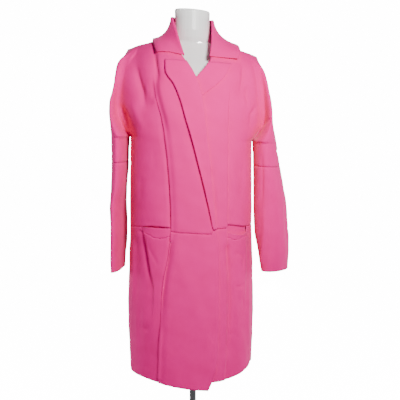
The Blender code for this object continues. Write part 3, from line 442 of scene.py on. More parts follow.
# Folds, each drawn as a line on the plane it is seen on, all in mm: half width, depth (inward where
# it is negative), steep side, which end dies out, then the line's points. The steep side is the
# right (1) or the left (-1) of the line's own direction, or 0 for an even one. A point is across and
# height, where across is x on the front and back, and y on the sides.
folds = {
    "front": [
        (8, -5, -1, "both", (-151, 1318), (-139, 1273), (-129, 1241), (-124, 1198)),
        (5, -3.2, 1, "both", (-100, 1342), (-97, 1317), (-88, 1269)),
        (6, -1.8, 1, "both", (-109, 1279), (-102, 1237), (-106, 1209)),
        (5, 1.5, 0, "both", (-122, 1267), (-115, 1230)),
        (8, 2, 0, "both", (-102, 1227), (-95, 1209)),
        (9, -9, -1, "both", (-206, 1212), (-192, 1198), (-181, 1182), (-173, 1163), (-167, 1143),
         (-157, 1129)),
        (12, 3.5, 0, "both", (-162, 1217), (-147, 1177), (-128, 1140)),
        (8, -8, -1, "first", (-199, 1107), (-184, 1118), (-166, 1127)),
        (6, -3, 1, "both", (-204, 1057), (-185, 1049), (-168, 1062)),
        (6, 2.5, 0, "both", (-197, 1204), (-206, 1166), (-201, 1133)),
        (6, -4, 1, "both", (135, 1315), (134, 1278), (128, 1238)),
        (5, -3.6, -1, "both", (149, 1259), (144, 1230), (153, 1205)),
        (6, -4.6, 1, "both", (175, 1209), (157, 1181), (158, 1145)),
        (7, 2, 0, "both", (138, 1240), (139, 1193)),
        (7, -6, 1, "last", (207, 1166), (191, 1139), (169, 1114)),
        (5, -4, -1, "both", (191, 1112), (175, 1090), (167, 1079)),
        (8, -3, 1, "both", (176, 1322), (188, 1263), (197, 1209), (194, 1168)),
        (5, -4, -1, "both", (190, 1085), (193, 1003), (192, 920)),
        (6, 4, 0, "first", (198, 934), (201, 864), (194, 768)),
        (5, -1.2, 1, "both", (-104, 1088), (-103, 1032)),
        (9, -1.5, 1, "both", (-138, 1022), (-142, 941)),
        (9, -1.6, -1, "both", (138, 1088), (136, 994), (123, 913)),
        (7, -3.4, -1, "last", (-139, 848), (-130, 819), (-118, 756), (-109, 706)),
        (5, -1.6, 1, "both", (-122, 819), (-108, 797), (-91, 772)),
        (6, -3.2, 1, "last", (-58, 838), (-70, 765), (-80, 698), (-84, 616)),
        (6, 3.2, 0, "first", (-70, 642), (-84, 597), (-88, 541), (-92, 461)),
        (9, -2.2, 1, "both", (-138, 590), (-116, 596)),
        (9, -2, 1, "both", (-141, 702), (-148, 588), (-143, 507)),
        (8, -2.2, 1, "both", (59, 633), (51, 571), (49, 509)),
        (6, 2, 0, "both", (58, 557), (54, 509)),
        (5, -4, 1, "last", (93, 818), (99, 737), (101, 679), (99, 623), (97, 537)),
        (6, 1.6, 0, "both", (78, 847), (81, 682), (82, 541)),
        (5, -3, 1, "both", (106, 799), (125, 803), (139, 791), (140, 755)),
        (5, -2.4, 1, "both", (114, 711), (131, 710), (151, 713)),
        (6, -2.2, 1, "both", (141, 687), (140, 634)),
        (6, -1.6, 1, "both", (101, 574), (121, 588)),
        (5, 2.2, 0, "both", (154, 754), (157, 555)),
        (3, -2.6, 0, "first", (-85, 1200), (-81.5, 1160), (-72, 1100), (-65.5, 1040), (-60, 950),
         (-58.8, 875)),
        (3, -2.4, 0, "first", (98, 1190), (97.5, 1060), (96.5, 880)),
        (3, -2.2, 0, "first", (56, 1050), (61, 950), (65, 880)),
    ],
    "back": [
        (12, -3.2, 1, "both", (-120, 1300), (-150, 1220), (-172, 1140)),
        (11, -2.8, -1, "both", (126, 1285), (150, 1200), (168, 1128)),
        (7, -3, 1, "last", (-176, 1130), (-140, 1098), (-98, 1084)),
        (8, -2.6, -1, "last", (172, 1118), (132, 1082), (94, 1074)),
        (26, -3, 0, "both", (2, 1300), (6, 1120), (0, 940)),
        (8, -1.8, 1, "both", (-88, 1002), (-24, 988), (50, 996)),
        (9, -1.5, -1, "both", (-40, 951), (14, 944), (82, 956)),
        (7, -1.4, 1, "both", (-132, 948), (-104, 928), (-70, 930)),
        (13, -3.4, 1, "first", (-66, 900), (-82, 660), (-88, 450)),
        (16, 2.8, 0, "first", (26, 820), (42, 640), (48, 450)),
        (11, -3.6, -1, "first", (108, 880), (118, 660), (122, 460)),
        (14, 2.2, 0, "first", (-128, 760), (-138, 450)),
        (7, -4.5, 1, "both", (-168, 1150), (-192, 1128), (-214, 1132)),
        (6, -3, -1, "both", (-172, 1082), (-196, 1070), (-216, 1080)),
        (7, -3.8, -1, "both", (172, 1140), (196, 1120), (222, 1128)),
        (6, -2.8, 1, "both", (186, 1064), (210, 1078), (230, 1070)),
        (8, -3, 1, "both", (214, 1000), (222, 900), (226, 800)),
    ],
    "rightArm": [
        (14, -3, 1, "both", (-20, 1290), (-6, 1200), (8, 1130)),
        (7, -3.4, 1, "both", (-52, 1108), (-14, 1092), (30, 1104)),
        (6, -2.2, -1, "both", (-36, 1082), (4, 1068), (48, 1074)),
        (9, 2.4, 0, "both", (-36, 1000), (-30, 900), (-22, 760)),
        (8, -2.6, 1, "both", (22, 990), (26, 880), (18, 770)),
        (6, -1.6, -1, "both", (-50, 905), (-10, 885), (36, 892)),
    ],
    "leftArm": [
        (13, -2.8, -1, "both", (-16, 1270), (2, 1190), (12, 1120)),
        (7, -3, -1, "both", (-56, 1092), (-10, 1078), (32, 1094)),
        (6, -2.4, 1, "both", (-30, 1062), (10, 1070), (50, 1058)),
        (10, -3.4, 1, "both", (-30, 1010), (-34, 900), (-30, 790)),
        (9, 2.6, 0, "both", (12, 1000), (8, 900), (2, 770)),
        (6, -1.8, 1, "both", (-30, 870), (4, 852), (26, 862)),
    ],
    "rightSide": [
        (11, -3.2, 1, "first", (-40, 840), (-46, 640), (-40, 450)),
        (13, 2.6, 0, "first", (36, 820), (44, 620), (40, 450)),
        (8, -2, -1, "both", (-30, 1080), (-10, 1000), (-16, 900)),
    ],
    "leftSide": [
        (12, -3, -1, "first", (-36, 830), (-42, 640), (-34, 470)),
        (11, 2.4, 0, "first", (40, 800), (50, 620), (44, 480)),
        (8, -2, 1, "both", (-24, 1070), (-8, 990), (-14, 900)),
    ],
}

# What each plane looks at: the axis across, the way it faces, and arm or body where it is only one
foldPlanes = {
    "front": (0, (0, -1, 0), None),
    "back": (0, (0, 1, 0), None),
    "rightArm": (1, (-1, 0, 0), True),
    "leftArm": (1, (1, 0, 0), True),
    "rightSide": (1, (-1, 0, 0), False),
    "leftSide": (1, (1, 0, 0), False),
}

# The cloth never hangs quite even: long slow waves
slowWaves = table(
    "lengthX lengthY lengthZ amount phase",
    (110, 140, 310, 0.55, 0.4),
    (61, 83, 190, 0.32, 2.1),
    (150, 90, 72, 0.28, 4.4),
    (43, 51, 120, 0.18, 1.2),
    (90, 60, 37, 0.12, 5.3),
)

seamGroove = {"depth": 0.0009, "halfWidth": 0.0024, "pucker": 0.00032, "reach": 0.009}
seamRipple = {"long": 0.0137, "short": 0.0089, "share": 0.6, "phase": 1.0}

# How far the waist seam and the lower edge of the pocket bands rise from their level in the solids.
# Both jump at the pleats, because the pockets are set higher than the seam between them.
waistRise = table(
    "x seam band",
    (-200, 4, 2),
    (-168, 5, 5),
    (-150, 7, 13),
    (-134.1, 9.5, 21),
    (-123.4, 11, 19),
    (-112.7, 12.5, 14.5),
    (-98, 12.5, 8.5),
    (-84, 12.5, 8),
    (-69.8, 12, 11),
    (-58.5, 11.5, 15),
    (-55, 1, 0),
    (-5, -2.5, -1.2),
    (52, -5.5, -2.5),
    (58, 7, 3),
    (92.5, 9, 4),
    (95.5, 17.5, 10),
    (117.8, 14, 2),
    (144.6, 8, 8),
    (160, 6, 4),
    (200, 4, 2),
)
seamFade = {"above": 0.024, "below": 0.045, "middle": 0.02}  # the middle part doesn't follow the pleats
bandPucker = {"amount": 0.0011, "lengths": (0.0165, 0.0097), "offset": 400, "reach": 0.011,
              "span": (0.060, 0.142, 0.012)}


def seamRise(points):  # for cloth beside the waist seam and the pocket bands
    x, z = points[..., 0], points[..., 2]
    level = z + x * slopeAt(z) - waistSeam
    for side, sign in sides.items():
        shift = read(pleat[side], "x", z) - read(pleat[side], "x", waistSeam)
        x = x - shift * (x * sign > seamFade["middle"])
    seam = smoothCurve(waistRise["x"], waistRise["seam"], x)
    band = smoothCurve(waistRise["x"], waistRise["band"], x)
    below = np.maximum(-level - bandTall, 0)
    rise = seam + (band * bell(below, seamFade["below"]) - seam) * np.clip(-level / bandTall, 0, 1)
    rise = np.where(level > 0, seam * bell(level, seamFade["above"]), rise)
    offset = bandPucker["offset"]
    wave = sum(np.sin(2 * math.pi * x / length + length * offset) for length in bandPucker["lengths"]) / 2
    first, last, fade = bandPucker["span"]
    inPocket = smoothStep((abs(x) - first) / fade) * smoothStep((last - abs(x)) / fade)
    return rise + bandPucker["amount"] * wave * inPocket * bell(level + bandTall, bandPucker["reach"])


foldForm = {"steep": 0.55, "slack": 1.3, "sharpness": 1.3, "fade": 0.45, "left": 0.12, "turned": (0.12, 0.5)}


def lineProfile(across, z, halfWidth, steep, fade, line):
    best = np.full(across.shape, 1e9)
    value = np.zeros(across.shape)
    lengths = [math.dist(a, b) for a, b in zip(line, line[1:])]
    before = 0.0
    for (x0, z0), (x1, z1), length in zip(line, line[1:], lengths):
        distance, along = lineDistance(across, z, x0, z0, x1, z1)
        rightOf = (across - x0) * (z1 - z0) - (z - z0) * (x1 - x0)
        slack = foldForm["slack"] if steep else 1.0
        width = halfWidth * np.where(rightOf * steep > 0, foldForm["steep"], slack)
        t = (before + along * length) / sum(lengths)
        strength = 1.0
        if fade != "last":
            strength = strength * smoothStep(t / foldForm["fade"] + foldForm["left"])
        if fade != "first":
            strength = strength * smoothStep((1 - t) / foldForm["fade"] + foldForm["left"])
        hollow = strength * np.exp(-foldForm["sharpness"] * (distance / width) ** 2)
        value = np.where(distance < best, hollow, value)
        best = np.minimum(best, distance)
        before += length
    return value


def foldDepth(points, normals, isArm):  # along the normal
    x, y, z = np.moveaxis(points, -1, 0)
    depth = np.zeros(x.shape)
    turned, span = foldForm["turned"]
    for plane, (axis, facing, armOnly) in foldPlanes.items():
        weight = smoothStep((np.sum(normals * np.array(facing), axis=-1) - turned) / span)
        if facing[0]:
            weight = weight * (x * facing[0] > 0)
        if armOnly is not None:
            weight = weight * (isArm == armOnly)
        for halfWidth, amount, steep, fade, *line in folds[plane]:
            line = np.array(line) / 1000
            profile = lineProfile(points[..., axis], z, halfWidth / 1000, steep, fade, line)
            depth = depth + amount / 1000 * weight * profile
    for lengthX, lengthY, lengthZ, amount, phase in zip(*slowWaves.values()):
        turns = x / lengthX + y / lengthY + z / lengthZ
        depth = depth + amount * np.sin(2 * math.pi * turns + phase)
    return depth


def seamDepth(points, isArm, front):  # the grooves and puckers along the seams across the cloth
    x, y, z = np.moveaxis(points, -1, 0)
    level = z + x * slopeAt(z)
    ripple = np.sin(2 * math.pi * (x + y) / seamRipple["long"])
    crossing = np.sin(2 * math.pi * (x - y) / seamRipple["short"] + seamRipple["phase"])
    ripple = ripple + seamRipple["share"] * crossing
    depth = np.zeros(x.shape)
    for height, there in ((elbowSeam, isArm), (waistSeam, np.logical_not(isArm) & front)):
        away = level - height
        groove = -seamGroove["depth"] * bell(away, seamGroove["halfWidth"])
        pucker = seamGroove["pucker"] * ripple * np.exp(-abs(away) / seamGroove["reach"])
        depth = depth + (groove + pucker) * there
    return depth


def drape(points, normals, isArm=False, front=False):
    depth = foldDepth(points, normals, isArm) + seamDepth(points, isArm, front)
    draped = points + normals * depth[..., None]
    draped[..., 2] += seamRise(points) * np.logical_not(isArm) * (points[..., 1] < 0)
    return draped


# Materials


def linear(hexColour):  # sRGB hex to linear, with full alpha
    values = [int(hexColour[i:i + 2], 16) / 255 for i in (0, 2, 4)]
    return (*(v / 12.92 if v <= 0.04045 else ((v + 0.055) / 1.055) ** 2.4 for v in values), 1.0)


def addNode(tree, kind, settings={}, links={}):  # or sets and links a node that is there already
    node = tree.nodes.new("ShaderNode" + kind) if isinstance(kind, str) else kind
    for name, value in settings.items():
        if isinstance(name, int) or name in node.inputs:
            node.inputs[name].default_value = value
        else:
            setattr(node, name, value)
    for name, source in links.items():  # from a socket, or from a node's first one
        tree.links.new(getattr(source, "outputs", [source])[0], node.inputs[name])
    return node


def newMaterial(name):  # with what adds nodes to it, its shader, and the place on the object
    material = bpy.data.materials.new(name)
    material.use_nodes = True
    add = partial(addNode, material.node_tree)
    return material, add, material.node_tree.nodes["Principled BSDF"], add("TexCoord").outputs["Object"]


knit = {
    "light": "f4048a",
    "deep": "ec0381",
    "fibreTint": "f6c9dc",
    "roughness": 0.80,
    "sheen": 0.22,
    "wale": 2.6,  # mm between stitch columns, drawn coarser than the real 1.5 mm so that it shows
    "course": 2.0,  # mm between stitch rows, the real ones are 1.2 mm
    "stitchRelief": 0.16,  # mm
    "fuzz": 1.3,  # mm grain of the loose fibres
    "fuzzRelief": 0.4,  # mm
    "cloud": 22.0,  # patches to a metre
}


def makeKnit():
    # Fine double-faced jersey of a wool and viscose yarn, knitted on a fine-gauge machine and
    # steamed flat: matt, with a soft light rim where fibres stand up, and faint stitch columns.
    material, add, shader, place = newMaterial("doubleJerseyKnit")
    uv = add("UVMap", {"uv_map": "clothMetres"})
    stitches = add("Mapping", {"Scale": (1000 / knit["wale"], 1000 / knit["course"], 1)}, {"Vector": uv})
    split = add("SeparateXYZ", {}, {0: stitches})
    leg = add("Math", {"operation": "PINGPONG", 1: 0.5}, {0: split.outputs["X"]})
    slant = add("Math", {"operation": "ADD"}, {0: split.outputs["Y"], 1: leg})
    loop = add("Math", {"operation": "PINGPONG", 1: 0.5}, {0: slant})
    turns = add("Math", {"operation": "MULTIPLY", 1: 2 * math.pi}, {0: leg})
    column = add("Math", {"operation": "SINE"}, {0: turns})
    stitch = add("Math", {"operation": "MULTIPLY"}, {0: column, 1: loop})
    fuzz = add("TexNoise", {"Scale": 1000 / knit["fuzz"], "Detail": 3, "Roughness": 0.6}, {"Vector": place})
    cloud = add("TexNoise", {"Scale": knit["cloud"], "Detail": 4, "Roughness": 0.55}, {"Vector": place})
    mixed = add("Math", {"operation": "MULTIPLY_ADD", 1: 0.45}, {0: fuzz, 2: cloud})
    shade = add("Math", {"operation": "MULTIPLY_ADD", 1: 0.5}, {0: stitch, 2: mixed})
    ramp = add("ValToRGB", {}, {"Fac": shade})
    for stop, position, colour in zip(ramp.color_ramp.elements, (0.45, 1.0), ("deep", "light")):
        stop.position = position
        stop.color = linear(knit[colour])
    wear = add("MapRange", {"From Min": 0.3, "From Max": 0.7, "To Min": knit["roughness"] - 0.06,
                            "To Max": knit["roughness"] + 0.06}, {"Value": cloud})
    stitchBump = add("Bump", {"Strength": 0.7, "Distance": knit["stitchRelief"] / 1000}, {"Height": stitch})
    fuzzBump = add("Bump", {"Strength": 0.35, "Distance": knit["fuzzRelief"] / 1000},
                   {"Height": fuzz, "Normal": stitchBump})
    add(shader, {"IOR": 1.5, "Specular IOR Level": 0.06, "Sheen Weight": knit["sheen"],
                 "Sheen Roughness": 0.38, "Sheen Tint": linear(knit["fibreTint"])},
        {"Base Color": ramp, "Roughness": wear, "Normal": fuzzBump})
    return material


knitMaterial = makeKnit()


def hardSurface(add, shader, finish, tone, grain, settings):  # colour, gloss and relief
    below, above = finish["glossRange"]
    mixed = add("Mix", {"data_type": "RGBA", 6: linear(finish["shade"]), 7: linear(finish["colour"])},
                {0: tone})
    gloss = add("MapRange", {"To Min": finish["roughness"] - below, "To Max": finish["roughness"] + above},
                {"Value": tone})
    bump = add("Bump", {"Strength": finish["strength"], "Distance": finish["relief"] / 1000},
               {"Height": grain})
    add(shader, settings, {"Base Color": mixed.outputs[2], "Roughness": gloss, "Normal": bump})


formFinish = {
    "colour": "f3f3f0",
    "shade": "ebebe8",
    "roughness": 0.16,
    "glossRange": (0.04, 0.05),
    "cloud": 14.0,  # patches to a metre
    "peel": 9.0,  # mm
    "relief": 0.05,  # mm
    "strength": 0.6,
}


def makeForm():
    # Glass-fibre shell with a sprayed white gel coat, polished: a clear highlight over a milky
    # body, with a faint orange peel that breaks the reflections.
    material, add, shader, place = newMaterial("polishedGelCoat")
    cloud = add("TexNoise", {"Scale": formFinish["cloud"], "Detail": 3}, {"Vector": place})
    peel = add("TexNoise", {"Scale": 1000 / formFinish["peel"], "Detail": 2}, {"Vector": place})
    coat = {"IOR": 1.5, "Coat Weight": 0.5, "Coat Roughness": 0.06}
    hardSurface(add, shader, formFinish, cloud, peel, coat)
    return material


# Relief in mm, and the spacing of the streaks along the pole and of the rings on the base
streaks = {"glossRange": (0.06, 0.08), "relief": 0.05, "strength": 0.3}
poleFinish = {"colour": "6f7072", "shade": "55565a", "roughness": 0.27, "spacing": 1.6, **streaks}
baseFinish = {"colour": "77787b", "shade": "606165", "roughness": 0.36, "spacing": 2.2, **streaks}


def makeSteel(name, finish, turned):
    # Steel, polished along the pole and turned on the base: dark mirror-like metal whose
    # highlight is drawn out by fine streaks.
    material, add, shader, place = newMaterial(name)
    if turned:  # rings about the pole
        across = add("VectorMath", {"operation": "MULTIPLY", 1: (1, 1, 0)}, {0: place})
        radius = add("VectorMath", {"operation": "LENGTH"}, {0: across})
        stretched = add("CombineXYZ", {}, {"X": radius.outputs["Value"]})
    else:
        stretched = add("Mapping", {"Scale": (1, 1, 0.02)}, {"Vector": place})
    streak = add("TexNoise", {"Scale": 1000 / finish["spacing"], "Detail": 4, "Roughness": 0.6},
                 {"Vector": stretched})
    hardSurface(add, shader, finish, streak, streak, {"Metallic": 1})
    return material


for nodeName, material in (
    ("dress_form", makeForm()),
    ("stand_pole", makeSteel("polishedSteelTube", poleFinish, False)),
    ("stand_base", makeSteel("turnedSteelPlate", baseFinish, True)),
):
    for slot in nodes[nodeName].material_slots:
        slot.material = material
print("Materials ready")


# Making a cloth piece from its grid

cuts = {  # each piece's node, the width, length and area of its flat cut, and what it rests on
    "backPanel": ("back", 0.74, 0.93, 0.498, "dress_form"),
    "frontRight": ("front_right", 0.41, 0.56, 0.204, "dress_form frontLeft"),
    "frontLeft": ("front_left", 0.37, 0.56, 0.178, "dress_form"),
    "skirtRight": ("skirt_right", 0.33, 0.45, 0.142, "dress_form skirtLeft"),
    "skirtLeft": ("skirt_left", 0.30, 0.44, 0.121, "dress_form"),
    "sleeveRight": ("sleeve_right", 0.36, 0.305, 0.098, "frontRight backPanel"),
    "sleeveLeft": ("sleeve_left", 0.36, 0.305, 0.095, "frontLeft backPanel"),
    "pocketBandRight": ("pocket_band_right", 0.09, 0.028, 0.0021, "frontRight skirtRight"),
    "pocketBandLeft": ("pocket_band_left", 0.062, 0.026, 0.0011, "frontLeft skirtLeft"),
    "pocketBackRight": ("pocket_back_right", 0.09, 0.125, 0.0105, "frontRight skirtRight"),
    "pocketBackLeft": ("pocket_back_left", 0.08, 0.125, 0.0091, "frontLeft skirtLeft"),
    "turnedCollar": ("collar", 0.45, 0.15, 0.062, "dress_form frontRight frontLeft backPanel"),
}


def allCells(points):
    return np.ones((points.shape[0] - 1, points.shape[1] - 1), bool)


def clothPiece(name, points, keep):
    acrossLength = measured(stepLengths(points, 1).mean(axis=0))
    alongLength = measured(stepLengths(points, 0).mean(axis=1))
    r, c = np.nonzero(keep)
    corners = [(r, c), (r + 1, c), (r + 1, c + 1), (r, c + 1)]
    used = np.zeros(points.shape[:2], bool)
    for corner in corners:
        used[corner] = True
    number = np.cumsum(used.ravel()).reshape(used.shape) - 1
    faces = np.stack([number[corner] for corner in corners], axis=1)
    mesh = bpy.data.meshes.new(name)
    mesh.from_pydata(points[used].tolist(), [], faces.tolist())
    flatPlace = [np.stack([acrossLength[column], alongLength[row]], axis=1) for row, column in corners]
    mesh.uv_layers.new(name="clothMetres").data.foreach_set("uv", np.stack(flatPlace, axis=1).ravel())
    edit = bmesh.new()
    edit.from_mesh(mesh)
    bmesh.ops.remove_doubles(edit, verts=edit.verts, dist=1e-6)
    edit.to_mesh(mesh)
    edit.free()
    mesh.shade_smooth()
    mesh.materials.append(knitMaterial)
    piece = addObject(name, mesh)
    solid = piece.modifiers.new("Cloth wall", "SOLIDIFY")
    solid.thickness = garment["wall"]
    solid.offset = 0.0
    node, width, length, area, restsOn = cuts[name]
    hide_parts(node)
    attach(piece, "root")
    print(name, "made,", len(mesh.polygons), "cells")
    return piece


bodyMiddle = np.array((0.0, 0.0, 1.1))


# Bodice: each half with its upper sleeve

upperHalf = {
    "frontTopOut": (0.062, 0.110, 0.150),
    "backTopOut": (0.0, 0.062, 0.150),
    "topWeb": 0.003,
    "crowding": 0.7,  # of the sleeve's columns towards the body
    "settled": (0.12, 0.05),  # below the seam the body's and the sleeve's columns take their own places
    "tipReach": 0.012,  # near the shoulder's tip the round seam gap widens
    "tipWidening": 1.5,
}


def halfBodice(side, back):
    positions = backColumns if back else frontColumns
    bodyColumns = len(positions)
    lines = upperHalf["backTopOut" if back else "frontTopOut"]
    bodyTop = np.interp(positions, (0, 1, 2), lines)
    if back:
        roundNeck = np.sin(np.clip(positions, 0, 1) * math.pi / 2)
        bodyTop = np.where(positions < 1, lines[1] * roundNeck, bodyTop)
    topWeb = upperHalf["topWeb"]
    crowded = sleeveSteps + upperHalf["crowding"] * (np.sin(sleeveSteps * math.pi / 2) - sleeveSteps)
    sleeveTop = lines[-1] + topWeb + (shoulderLine["out"][-1] - lines[-1] - topWeb) * crowded
    topOut = np.concatenate([bodyTop, sleeveTop[:1] - topWeb / 2, sleeveTop])
    drops = shoulderDrops[:, None]
    slopeLeft = 1 - smoothStep(drops / shoulderDrops[-1])
    upper = neckHeight - drops - (neckHeight - shoulderHeight(topOut[None, :])) * slopeLeft
    heights = np.vstack([upper, bodiceRows[:, None] + 0 * topOut[None, :]])
    bodyX, bodyY, angle = sectionGrid(side, heights[:, :bodyColumns], positions, back)
    sleeveX, sleeveY = sleeveHalf(side, heights[:, bodyColumns + 1:], back)
    x = np.hstack([bodyX, sleeveX])
    settled = np.where(np.arange(len(topOut)) < bodyColumns, *upperHalf["settled"])
    x[:len(drops)] += (sides[side] * topOut - x[0]) * (1 - smoothStep(drops / settled))
    y = roundOver(x, np.hstack([bodyY, sleeveY]), heights, back)
    if not back:
        fade = np.zeros(len(topOut))
        fade[:bodyColumns] = smoothStep((2.0 - positions) / 0.1)
        allAngle = np.pad(angle, ((0, 0), (0, len(topOut) - bodyColumns)), mode="edge")
        x, y = standOut(x, y, allAngle, heights, frontRelief(side, x, heights) * fade)
    tip = np.hypot(abs(x) - shoulderLine["out"][-1], heights - shoulderLine["height"][-1])
    widening = upperHalf["tipWidening"] * smoothStep(1.5 - tip / upperHalf["tipReach"])
    gap = roundGap * (1 + widening)
    y += gap / 2 if back else -gap / 2
    points = np.stack([x, y, heights], axis=-1)
    rowTop = points[:-1, :, 2].min(axis=1)
    keep = allCells(points)
    bodyCells = bodyColumns - 1
    keep[:, bodyCells:bodyCells + 2] = (rowTop > underarm + 1e-4)[:, None]
    keep[:, bodyCells + 2:] = (rowTop > elbowSeam + seamGap / 2 + 1e-4)[:, None]
    isArm = np.zeros(points.shape[:2], bool)
    isArm[:, bodyColumns:] = True
    return points, keep, isArm


def seamlessNormals(points, isArm):  # body and arm apart below the underarm, where the grid jumps
    split = int(np.argmax(isArm[0]))
    normals = gridNormals(points, bodyMiddle)
    below = points[:, 0, 2] < underarm + 0.001
    armMiddle = points[:, split + 1:].mean(axis=1, keepdims=True) * (1, 0, 1)
    normals[below, :split] = gridNormals(points[:, :split], bodyMiddle)[below]
    normals[below, split + 1:] = gridNormals(points[:, split + 1:], armMiddle)[below]
    return normals


# Fronts with their turned lapels

lapel = {
    "outer": {
        "Right": table("height x", (868, 56), (955, 39.2), (1034, 21.4), (1118, 0.3), (1178, -17.2),
                       (1216, -27.7), (1258, -45.2), (1293, -67.8), (1323, -69.1)),
        "Left": table("height x", (1165, -38), (1200, -6), (1230, 24.5), (1285, 84.9), (1323, 104.1)),
    },
    "stand": {
        "Right": table("height stand", (868, 1), (930, 5), (1050, 6), (1200, 4), (1323, 2)),
        "Left": table("height stand", (1160, 0), (1250, 1), (1323, 3)),
    },
    "across": refine((0.08, 0.36, 0.68, 1.0), 0.06),
    "roll": (0.75, 0.5, 0.25),  # parts of the half turn round the roll
}


def lapelGrid(side, heights):
    level = heights[:, None]
    roll = read(edge[side], "x", level)
    across = np.concatenate([[0.0], lapel["across"]])[None, :]
    x = roll + (read(lapel["outer"][side], "x", level) - roll) * across
    stand = read(lapel["stand"][side], "stand", level)
    flap = frontPoints(side, x, level + 0 * x, layer + stand * across ** 1.5)
    rims = []
    for part in lapel["roll"]:
        turn = math.pi * part
        rim = frontPoints(side, roll, level, layer / 2 * (1 - math.cos(turn)))
        rim[..., 0] -= sides[side] * layer / 2 * math.sin(turn)
        rims.append(rim)
    return np.concatenate([flap[:, ::-1]] + rims, axis=1), flap.shape[1]


def makeFront(side):
    points, keep, isArm = halfBodice(side, False)
    edgeHeights = points[:, 0, 2]
    flaps, flapColumns = lapelGrid(side, edgeHeights)
    normals = seamlessNormals(lean(points), isArm)
    lowest = lapel["outer"][side]["height"][0]
    rows = (edgeHeights[:-1] < garment["notch"] + 0.001) & (edgeHeights[1:] > lowest - 0.001)
    flapNormals = gridNormals(lean(flaps), bodyMiddle)
    flapNormals[:, flapColumns - 1:] = normals[:, :1]
    points = lean(np.concatenate([flaps, points], axis=1))
    keep = np.concatenate([np.repeat(rows[:, None], flaps.shape[1], axis=1), keep], axis=1)
    normals = np.concatenate([flapNormals, normals], axis=1)
    isArm = np.concatenate([np.zeros(flaps.shape[:2], bool), isArm], axis=1)
    return clothPiece("front" + side, drape(points, normals, isArm, True), keep)


# Skirt

skirt = {
    "hem": {
        "Right": table("x height", (-200, 459), (-150, 456), (-90, 446), (-10, 434), (60, 427)),
        "Left": table("x height", (-60, 446), (50, 450), (130, 461), (150, 470), (200, 480)),
        "back": table("x height", (-200, 459), (0, 466), (200, 480)),
    },
    "cell": 0.0115,  # of its length
    "reliefEnd": 0.168,  # folds have died out here, before the side seam
    "reliefFade": 0.012,
}


def skirtPoints(side, positions, back):
    hem = skirt["hem"]["back" if back else side]
    hemLevel = np.full((1, len(positions)), hem["height"].mean())
    hemX = sectionGrid(side, hemLevel, positions, back, not back)[0]
    top = waistSeam if back else waistSeam - seamGap / 2
    known = np.array(skirtRows)
    rows = refine(skirtRows, skirt["cell"])
    knots = top + (read(hem, "height", hemX, "x") - top) * known[:, None]
    knots[1] = bandBottom
    heights = np.stack([np.interp(rows, known, knots[:, i]) for i in range(knots.shape[1])], axis=1)
    x, y, angle = sectionGrid(side, heights, positions, back, not back)
    if not back:
        fade = smoothStep((skirt["reliefEnd"] - abs(x)) / skirt["reliefFade"])
        x, y = standOut(x, y, angle, heights, frontRelief(side, x, heights) * fade)
    return np.stack([x, y + (roundGap if back else -roundGap) / 2, heights], axis=-1), rows


def makeSkirt(side):
    points, rows = skirtPoints(side, skirtColumns, False)
    keep = allCells(points)
    inPocket = (skirtColumns[:-1] > 0.999) & (skirtColumns[1:] < 2.001)
    keep[np.ix_(rows[1:] < skirtRows[1] + 1e-6, inPocket)] = False
    points = lean(points)
    clothPiece("skirt" + side, drape(points, gridNormals(points, bodyMiddle), front=True), keep)


# Back, in one from neck to hem


def makeBack():
    grids, cells, armParts = [], [], []
    spare = len(sleeveSteps) + 1
    for side in sides:
        points, keep, isArm = halfBodice(side, True)
        lower = np.pad(skirtPoints(side, backColumns, True)[0], ((0, 0), (0, spare), (0, 0)), mode="edge")
        lowerKeep = np.zeros((len(lower), keep.shape[1]), bool)
        lowerKeep[:, :-spare] = True
        grids.append(lean(np.concatenate([points[:-1], lower])))
        cells.append(np.concatenate([keep[:-1], lowerKeep]))
        armParts.append(np.repeat(isArm[:1], len(grids[-1]), axis=0))
    points, isArm = (np.concatenate([right[:, ::-1], left[:, 1:]], axis=1)
                     for right, left in (grids, armParts))
    keep = np.concatenate([cells[0][:, ::-1], cells[1]], axis=1)
    middle = grids[0].shape[1] - 1
    normals = gridNormals(points, bodyMiddle)
    rightNormals = seamlessNormals(points[:, middle::-1], isArm[:, middle::-1])
    leftNormals = seamlessNormals(points[:, middle:], isArm[:, middle:])
    low = points[:, middle, 2] < underarm + 0.001
    normals[low, :middle] = rightNormals[low, :0:-1]
    normals[low, middle + 1:] = leftNormals[low, 1:]
    return clothPiece("backPanel", drape(points, normals, isArm), keep)


# Lower sleeves

sleeve = {"cuff": 0.742, "around": 81, "rows": 66}


def makeSleeve(side):
    level = np.linspace(elbowSeam - seamGap, sleeve["cuff"], sleeve["rows"])
    around = np.linspace(0, 2 * math.pi, sleeve["around"])
    heights, angles = np.meshgrid(level, around, indexing="ij")
    x, y = armPoint(side, angles, heights)
    points = lean(np.stack([x, y, heights], axis=-1))
    points[:, -1] = points[:, 0]
    middle = points[:, :-1].mean(axis=1, keepdims=True)
    points = drape(points, gridNormals(points, middle, closed=True), True)
    points[:, -1] = points[:, 0]
    clothPiece("sleeve" + side, points, allCells(points))


# Pockets


def pocketPoints(side, heights, inset, lift):
    positions = np.array([p for p in skirtColumns if 0.999 < p < 2.001])
    positions = 1 + inset + (positions - 1) * (1 - 2 * inset)
    heights = heights[:, None] + 0 * positions
    x = sectionGrid(side, np.maximum(heights, bandBottom), positions, False, True)[0]
    return frontPoints(side, x, heights, lift(x, heights)), positions - 1


def finishPocket(name, points):
    points = lean(points)
    clothPiece(name, drape(points, gridNormals(points, bodyMiddle)), allCells(points))


def makePocketBand(side):
    rows = np.linspace(waistSeam - seamGap * 1.5, bandBottom + seamGap, 9)
    points, across = pocketPoints(side, rows, 0.01, lambda x, z: 0.0)
    falling = np.linspace(1, 0, len(rows))[:, None]
    points[..., 2] -= falling * read(pocket["sag"][side], "fall", across, "across")
    finishPocket("pocketBand" + side, points)


